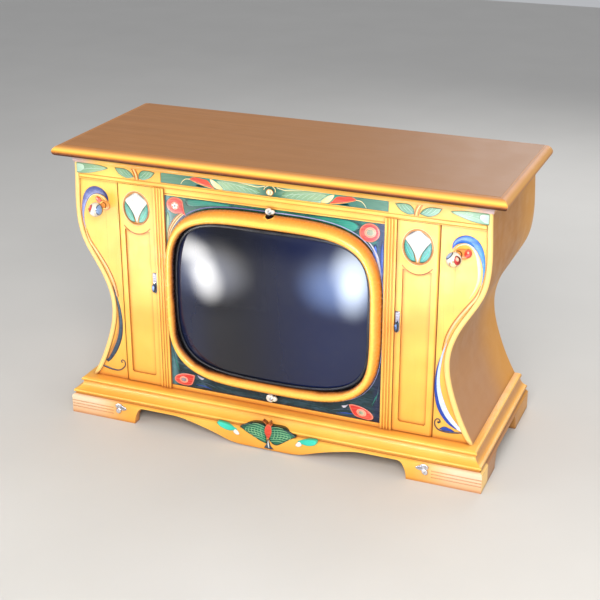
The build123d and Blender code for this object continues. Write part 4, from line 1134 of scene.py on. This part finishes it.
# ---- knobs, buttons, latches and feet ---------------------------------------------
def ball_knob(side, body, name, node):
    """Painted porcelain ball on a turned stem, with drops of red glaze."""
    x = side * KNOB_X
    back = box(node)[1].y
    stem = [(0, back), (7.2, back), (7.6, back - 1.0), (6.4, back - 3.0), (6.0, back - 6.0), (6.8, -190.0),
            (8.6, -194.5), (9.6, -197.0), (9.4, -200.0), (0, -200.0)]
    mesh = lathe("stem", stem, x, KNOB_Z)
    add_piece(name + "_stem", mesh, body, "painted_porcelain", "apricot")
    count = 36
    ball = [(BALL_R * math.sin(math.pi * k / count), BALL_Y + BALL_R * math.cos(math.pi * k / count))
            for k in range(1, count)]
    mesh = lathe("ball", [(0, BALL_Y + BALL_R), *ball, (0, BALL_Y - BALL_R)], x, KNOB_Z)
    centre = (x, BALL_Y, KNOB_Z)
    navy = colour(34, 44, 72)
    if side > 0:
        patches = [(centre, (-0.65, -0.3, 0.7), 0.84, colour(150, 180, 220), navy),
                   (centre, (0.2, -0.9, -0.4), 0.9, colour(240, 226, 180), colour(190, 150, 100))]
    else:
        patches = [(centre, (0.96, -0.2, 0.12), 0.72, colour(120, 150, 196), navy),
                   (centre, (-0.1, -0.9, -0.5), 0.9, colour(250, 246, 232), colour(206, 196, 176))]
    # Brown over the ball's back half: painted shade that outlines the ball from the front.
    patches.append((centre, (0.1, 1, -0.1), 0.12, colour(96, 56, 30), colour(40, 26, 22)))
    PAINTS[name + "_glaze"] = porcelain(name + "_glaze", patches)
    ball = add_piece(name, mesh, body, "painted_porcelain", name + "_glaze")
    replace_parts(ball, node)
    # Each drop: direction from the ball's middle, half length, half width, lean, paint and lift.
    # The second, smaller drop on each ball is a painted highlight on the first.
    if side > 0:
        drops = [((0.70, -0.68, 0.22), 13.0, 9.4, 80, "drop", 0.0),
                 ((0.58, -0.72, 0.38), 5.0, 3.4, 70, "painted_highlight_pink", 1.4)]
    else:
        drops = [((-0.43, -0.76, 0.42), 10.0, 6.4, 90, "drop", 0.0),
                 ((-0.45, -0.70, 0.56), 4.0, 2.4, 90, "painted_highlight_pink", 1.4)]
    for index, (*shape, paint, lift) in enumerate(drops):
        mesh = glaze_drop(side, lift, *shape)
        add_piece(f"{name}_drop_{index}", mesh, body, "painted_porcelain", paint)


def glaze_drop(side, lift, direction, long, wide, lean):
    """A drop of thick glaze that follows the ball's surface."""
    axis = Vector(direction).normalized()
    across = axis.cross(Vector((0, 0, 1))).normalized()
    up = across.cross(axis)
    turn = math.radians(lean)
    u = across * math.cos(turn) + up * math.sin(turn)
    v = up * math.cos(turn) - across * math.sin(turn)
    count = 28
    rings = []
    tones = []
    edges = []
    for scale, rise in ((1.0, -0.6), (1.0, 0.35), (0.86, 0.9), (0.6, 1.3), (0.3, 1.5), (0.04, 1.55)):
        ring = []
        for k in range(count):
            angle = 2 * math.pi * k / count
            c = math.cos(angle)
            s = math.sin(angle)
            taper = 0.5 + 0.5 * s ** 2 if c > 0 else 1.0
            spot = u * (long * c * scale) + v * (wide * s * scale * taper)
            spot = (axis * BALL_R + spot).normalized() * (BALL_R + rise + lift)
            ring.append((side * KNOB_X + spot.x, BALL_Y + spot.y, KNOB_Z + spot.z))
            tones.append(0.5 - side * 0.6 * s * scale)
            edges.append(scale)
        rings.append(ring)
    mesh = loop_mesh("drop", rings, caps=True)
    for label, values in (("tone", tones), ("edge", edges)):
        mesh.attributes.new(label, "FLOAT", "POINT").data.foreach_set("value", values)
    return mesh


def knob_rosette(side):
    """Red petals on the wing round the root of a knob, each with a small painted highlight."""
    r = Relief(WING_FRONT, root=0.3)
    x = side * KNOB_X
    z = KNOB_Z
    if side > 0:
        r.petal(ellipse(x + 8, z + 1, 20, 11.5, 6), "apricot", 2.0)
        r.petal(ellipse(x + 21, z + 4, 8.0, 10.0, -20), "red_plain", 2.0, 0.8)
        r.petal(ellipse(x + 21.5, z + 7, 2.6, 3.2), "painted_highlight_pink", 0.7, 2.4)
    else:
        r.petal(ellipse(x + 3, z, 14.5, 11.5, -8), "apricot", 2.0)
        r.petal(ellipse(x - 12, z + 12, 9.5, 6.0, 138), "red_plain", 1.8, 0.2)
        r.petal(ellipse(x - 15.5, z + 15, 3.4, 2.2, 138), "painted_highlight_pink", 0.6, 1.7)
    r.build("knob_rosette_" + ("right" if side > 0 else "left"), "cabinet", "front_wood")


def turn_button(node, body, name):
    """Two-lobed porcelain turn-button."""
    low, high = box(node)
    half_w = (high.x - low.x) / 2
    half_h = (high.z - low.z) / 2
    middle = (low.z + high.z) / 2
    upright = half_h > half_w
    long, wide = (half_h, half_w) if upright else (half_w, half_h)
    neck = 0.28
    rings = []
    for scale, depth in ((0.86, 0.0), (0.97, -1.2), (1.0, -3.0), (0.93, -5.2), (0.76, -6.6), (0.5, -7.0),
                         (0.2, -7.0)):
        ring = []
        for k in range(48):
            angle = 2 * math.pi * k / 48
            c = math.cos(angle)
            waist = 1.0 - 0.32 * math.exp(-((c - neck) / 0.2) ** 2)
            a = long * c * scale
            b = wide * math.sin(angle) * scale * waist * (0.78 if c > neck else 1.0)
            ring.append((b if upright else a, high.y + depth, middle + (a if upright else b)))
        rings.append(ring)
    mesh = loop_mesh("button", rings, caps=True)
    button = add_piece(name, mesh, body, "porcelain", "porcelain")
    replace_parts(button, node)


def latch(body, turn_body, name):
    """Framed plate with a white upper half, and the slate thumb-turn in front of it."""
    low, high = box("latch_plate_" + name)
    x = (low.x + high.x) / 2
    half = (high.x - low.x) / 2
    r = Relief(high.y, root=0.0)
    r.petal(sharp((x - half, high.z), (x + half, high.z), (x + half, low.z + 7), (x, low.z),
                  (x - half, low.z + 7)),
            "nickel", 1.5, steps=3)
    plate = r.build("latch_plate_piece_" + name, body, "nickel")
    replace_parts(plate, "latch_plate_" + name)
    w = Relief(high.y - 1.4, root=0.5)
    middle = (low.z + high.z) / 2 + 1
    inset = half - 1.3
    w.petal(sharp((x - inset, high.z - 1.4), (x + inset, high.z - 1.4), (x + inset, middle + 2),
                  (x - inset, middle + 2)),
            "silver", 0.7, steps=3)
    for k in range(3):
        z = middle + 6 + 6.4 * k
        w.stroke([(x - 2.4, z - 1.6, 0.5), (x - 0.8, z + 1.4, 1.0), (x + 0.8, z - 1.4, 1.0),
                (x + 2.4, z + 1.6, 0.5)], "grey", 0.35, 0.6)
    w.petal(sharp((x - inset, middle), (x + inset, middle), (x + inset, low.z + 7.6), (x, low.z + 1.8),
                  (x - inset, low.z + 7.6)),
            "slate", 0.5, steps=3)
    w.build("latch_enamel_" + name, body, "porcelain")
    low, high = box("latch_turn_" + name)
    z = (low.z + high.z) / 2
    front = low.y
    hub = front + 5
    wide, tall = 4.4, 10.8
    rings = []
    for scale, y in ((0.4, high.y), (0.4, front + 5.2), (0.92, front + 4.6), (1.0, front + 3.2),
                     (0.96, front + 1.4), (0.8, front + 0.3), (0.5, front), (0.15, front)):
        outline = ellipse(x, z, wide * scale, tall * scale if y < hub else wide * scale, count=36)
        rings.append([(px, y, pz) for px, pz in outline])
    mesh = loop_mesh("turn", rings, caps=True)
    turn = add_piece("latch_turn_piece_" + name, mesh, turn_body, "nickel", "blued")
    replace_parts(turn, "latch_turn_" + name)


def feet():
    """Three cast leaves on each front foot."""
    r = Relief(APRON_FRONT, root=0.3)
    for r.side in (-1, 1):
        r.petal([(371, 34), (376, 40), (386, 42.5), (396, 40), (391, 33), (382, 30)], "nickel", 1.7)
        r.petal([(383, 45), (392, 47), (401, 43), (400, 36), (393, 34), (386, 38)], "nickel", 2.0, 0.4)
        r.petal([(386, 33), (392, 34), (399, 31), (400, 24), (394, 20), (387, 25)], "nickel", 2.0, 0.4)
        r.stroke([(374, 35, 0.6), (384, 37, 1.4), (393, 37, 0.8)], "slate", 0.4, 1.8)
        r.stroke([(392, 43, 0.8), (396, 39, 1.2)], "slate", 0.3, 2.2)
        r.stroke([(392, 24, 0.8), (394, 29, 1.2)], "slate", 0.3, 2.2)
    leaves = r.build("foot_leaves", "cabinet", "nickel")
    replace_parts(leaves, "foot_clips")


ball_knob(-1, "volume_control", "volume_ball", "volume_knob")
ball_knob(1, "tuning_control", "tuner_ball", "tuner_knob")
knob_rosette(-1)
knob_rosette(1)
turn_button("turn_button_top", "top_button", "top_turn_button")
turn_button("turn_button_bottom", "bottom_button", "bottom_turn_button")
latch("left_door", "left_latch", "left")
latch("right_door", "right_latch", "right")
feet()


# ---- speaker cloth ----------------------------------------------------------------
def speaker_cloth():
    """Cloth stretched over its board, drawn in a little over the loudspeaker's opening."""
    low, high = box("speaker_cloth")
    columns = 30
    rows = 120
    front = []
    for m in range(rows + 1):
        for k in range(columns + 1):
            x = low.x + (high.x - low.x) * k / columns
            z = low.z + (high.z - low.z) * m / rows
            u = (x - SPEAKER[0]) / SPEAKER_HALF[0]
            v = (z - SPEAKER[1]) / SPEAKER_HALF[1]
            dent = CLOTH_DENT * max(0.0, 1 - u * u - v * v)
            front.append((x, low.y + CLOTH_FRONT + dent, z))
    count = len(front)
    points = front + [(x, y + CLOTH_THICK, z) for x, y, z in front]
    faces = []
    for m in range(rows):
        for k in range(columns):
            a = m * (columns + 1) + k
            quad = (a, a + 1, a + columns + 2, a + columns + 1)
            faces.append(quad)
            faces.append(tuple(count + i for i in reversed(quad)))
    border = list(range(columns + 1))
    border += [m * (columns + 1) + columns for m in range(1, rows + 1)]
    border += [rows * (columns + 1) + k for k in range(columns - 1, -1, -1)]
    border += [m * (columns + 1) for m in range(rows - 1, 0, -1)]
    for a, b in zip(border, border[1:] + border[:1]):
        faces.append((a, b, count + b, count + a))
    mesh = make_mesh("cloth", points, faces)
    cloth = add_piece("speaker_grille_cloth", mesh, "cabinet", "grille_cloth", "grille_cloth")
    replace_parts(cloth, "speaker_cloth")


speaker_cloth()


# ---- camera, light and floor --------------------------------------------------------
def look_at(thing, place, target):
    thing.location = place
    thing.rotation_euler = (Vector(target) - Vector(place)).to_track_quat("-Z", "Y").to_euler()


TARGET = Vector((-0.0075, 0.014, 0.292))
DISTANCE = 3.140
AZIMUTH = math.radians(22.18)
ELEVATION = math.radians(22.82)
camera = bpy.data.objects.new("camera", bpy.data.cameras.new("camera"))
camera.data.lens = 77.14
camera.data.sensor_width = 36.0
toward = Vector((math.sin(AZIMUTH) * math.cos(ELEVATION), -math.cos(AZIMUTH) * math.cos(ELEVATION),
                 math.sin(ELEVATION)))
look_at(camera, TARGET + toward * DISTANCE, TARGET)
bpy.context.collection.objects.link(camera)
bpy.context.scene.camera = camera


def area_light(name, place, target, size, watts, tint=(1, 1, 1)):
    lamp = bpy.data.lights.new(name, "AREA")
    lamp.shape = "RECTANGLE"
    lamp.size, lamp.size_y = size
    lamp.energy = watts
    lamp.color = tint
    light = bpy.data.objects.new(name, lamp)
    look_at(light, place, target)
    bpy.context.collection.objects.link(light)


area_light("key", (0.9, -2.6, 1.9), (0, 0, 0.35), (1.6, 1.2), 92, (1.0, 0.98, 0.94))
area_light("fill", (-2.2, -1.8, 1.2), (0, 0, 0.3), (1.4, 1.4), 20, (1.0, 0.98, 0.95))
area_light("side", (2.8, -0.6, 1.2), (0.4, 0, 0.35), (1.4, 1.4), 16, (1.0, 0.95, 0.88))
area_light("back", (0.4, 2.4, 1.9), (0, 0, 0.4), (1.6, 1.2), 30)


def softbox(name, middle, toward_point, size, strength, tint, spots):
    """Soft glows that only glossy surfaces see. spots are (x, y, half width, half height, share)."""
    half_w, half_h = size[0] / 2, size[1] / 2
    mesh = bpy.data.meshes.new(name)
    corners = [(-half_w, -half_h, 0), (half_w, -half_h, 0), (half_w, half_h, 0), (-half_w, half_h, 0)]
    mesh.from_pydata(corners, [], [(0, 1, 2, 3)])
    f = Finish(name)
    tree = f.tree
    where = f.node("TexCoord", {}).outputs["Object"]
    total = 0.0
    for x, y, wide, high, share in spots:
        offset = f.node("VectorMath", {0: where, 1: (x, y, 0)}, operation="SUBTRACT").outputs[0]
        offset = f.node("VectorMath", {0: offset, 1: (wide, high, 1)}, operation="DIVIDE").outputs[0]
        reach = f.node("VectorMath", {0: offset}, operation="LENGTH").outputs["Value"]
        total = f.math("ADD", total, f.span(reach, 1.0, 0.1, 0.0, share * strength))
    glow = tree.nodes.new("ShaderNodeEmission")
    glow.inputs["Color"].default_value = (*tint, 1)
    tree.links.new(total, glow.inputs["Strength"])
    clear = tree.nodes.new("ShaderNodeBsdfTransparent")
    both = tree.nodes.new("ShaderNodeAddShader")
    tree.links.new(glow.outputs[0], both.inputs[0])
    tree.links.new(clear.outputs[0], both.inputs[1])
    tree.links.new(both.outputs[0], tree.nodes["Material Output"].inputs["Surface"])
    mesh.materials.append(f.material)
    card = bpy.data.objects.new(name, mesh)
    look_at(card, middle, toward_point)
    card.visible_camera = False
    card.visible_diffuse = False
    card.visible_shadow = False
    bpy.context.collection.objects.link(card)


# Each card faces the part of the glass that reflects it.
softbox("left_softbox", (-0.635, -0.735, 0.225), (-0.186, -0.19, 0.40), (0.76, 0.44), 15.0,
        (1.0, 0.98, 0.93), (
    (-0.12, 0.10, 0.19, 0.10, 0.8), (-0.02, 0.03, 0.14, 0.14, 0.7), (0.02, -0.06, 0.13, 0.155, 1.0),
    (0.06, 0.0, 0.30, 0.21, 0.3)))
softbox("right_softbox", (0.14, -0.905, 0.28), (0.15, -0.19, 0.44), (0.7, 0.54), 19.0, (0.86, 0.94, 1.0), (
    (0.07, 0.05, 0.17, 0.21, 1.0), (0.06, -0.09, 0.12, 0.17, 0.6), (0.0, 0.0, 0.3, 0.26, 0.15)))
softbox("blue_wash", (0.08, -0.95, 0.25), (0.12, -0.19, 0.42), (0.9, 0.48), 6.0, (0.22, 0.42, 1.0), (
    (0.08, -0.02, 0.34, 0.22, 1.0), (-0.02, -0.05, 0.22, 0.18, 0.4)))
softbox("blue_corner", (-0.66, -0.76, 0.215), (-0.186, -0.19, 0.38), (0.7, 0.42), 2.2, (0.25, 0.42, 1.0), (
    (0.0, -0.02, 0.33, 0.19, 1.0),))

floor_mesh = bpy.data.meshes.new("floor")
floor_mesh.from_pydata([(-6, -6, 0), (6, -6, 0), (6, 6, 0), (-6, 6, 0)], [], [(0, 1, 2, 3)])
floor_finish = Finish("floor", Roughness=0.7)
floor_mesh.materials.append(floor_finish.finish(
    floor_finish.mix(floor_finish.noise(3.0), colour(196, 194, 190), colour(204, 202, 198))))
floor = bpy.data.objects.new("floor", floor_mesh)
bpy.context.collection.objects.link(floor)

world = bpy.data.worlds.new("studio")
world.use_nodes = True
world.node_tree.nodes["Background"].inputs["Color"].default_value = (0.86, 0.88, 0.92, 1)
world.node_tree.nodes["Background"].inputs["Strength"].default_value = 0.55
bpy.context.scene.world = world
bpy.context.scene.view_settings.view_transform = "Standard"
bpy.context.scene.view_settings.look = "None"
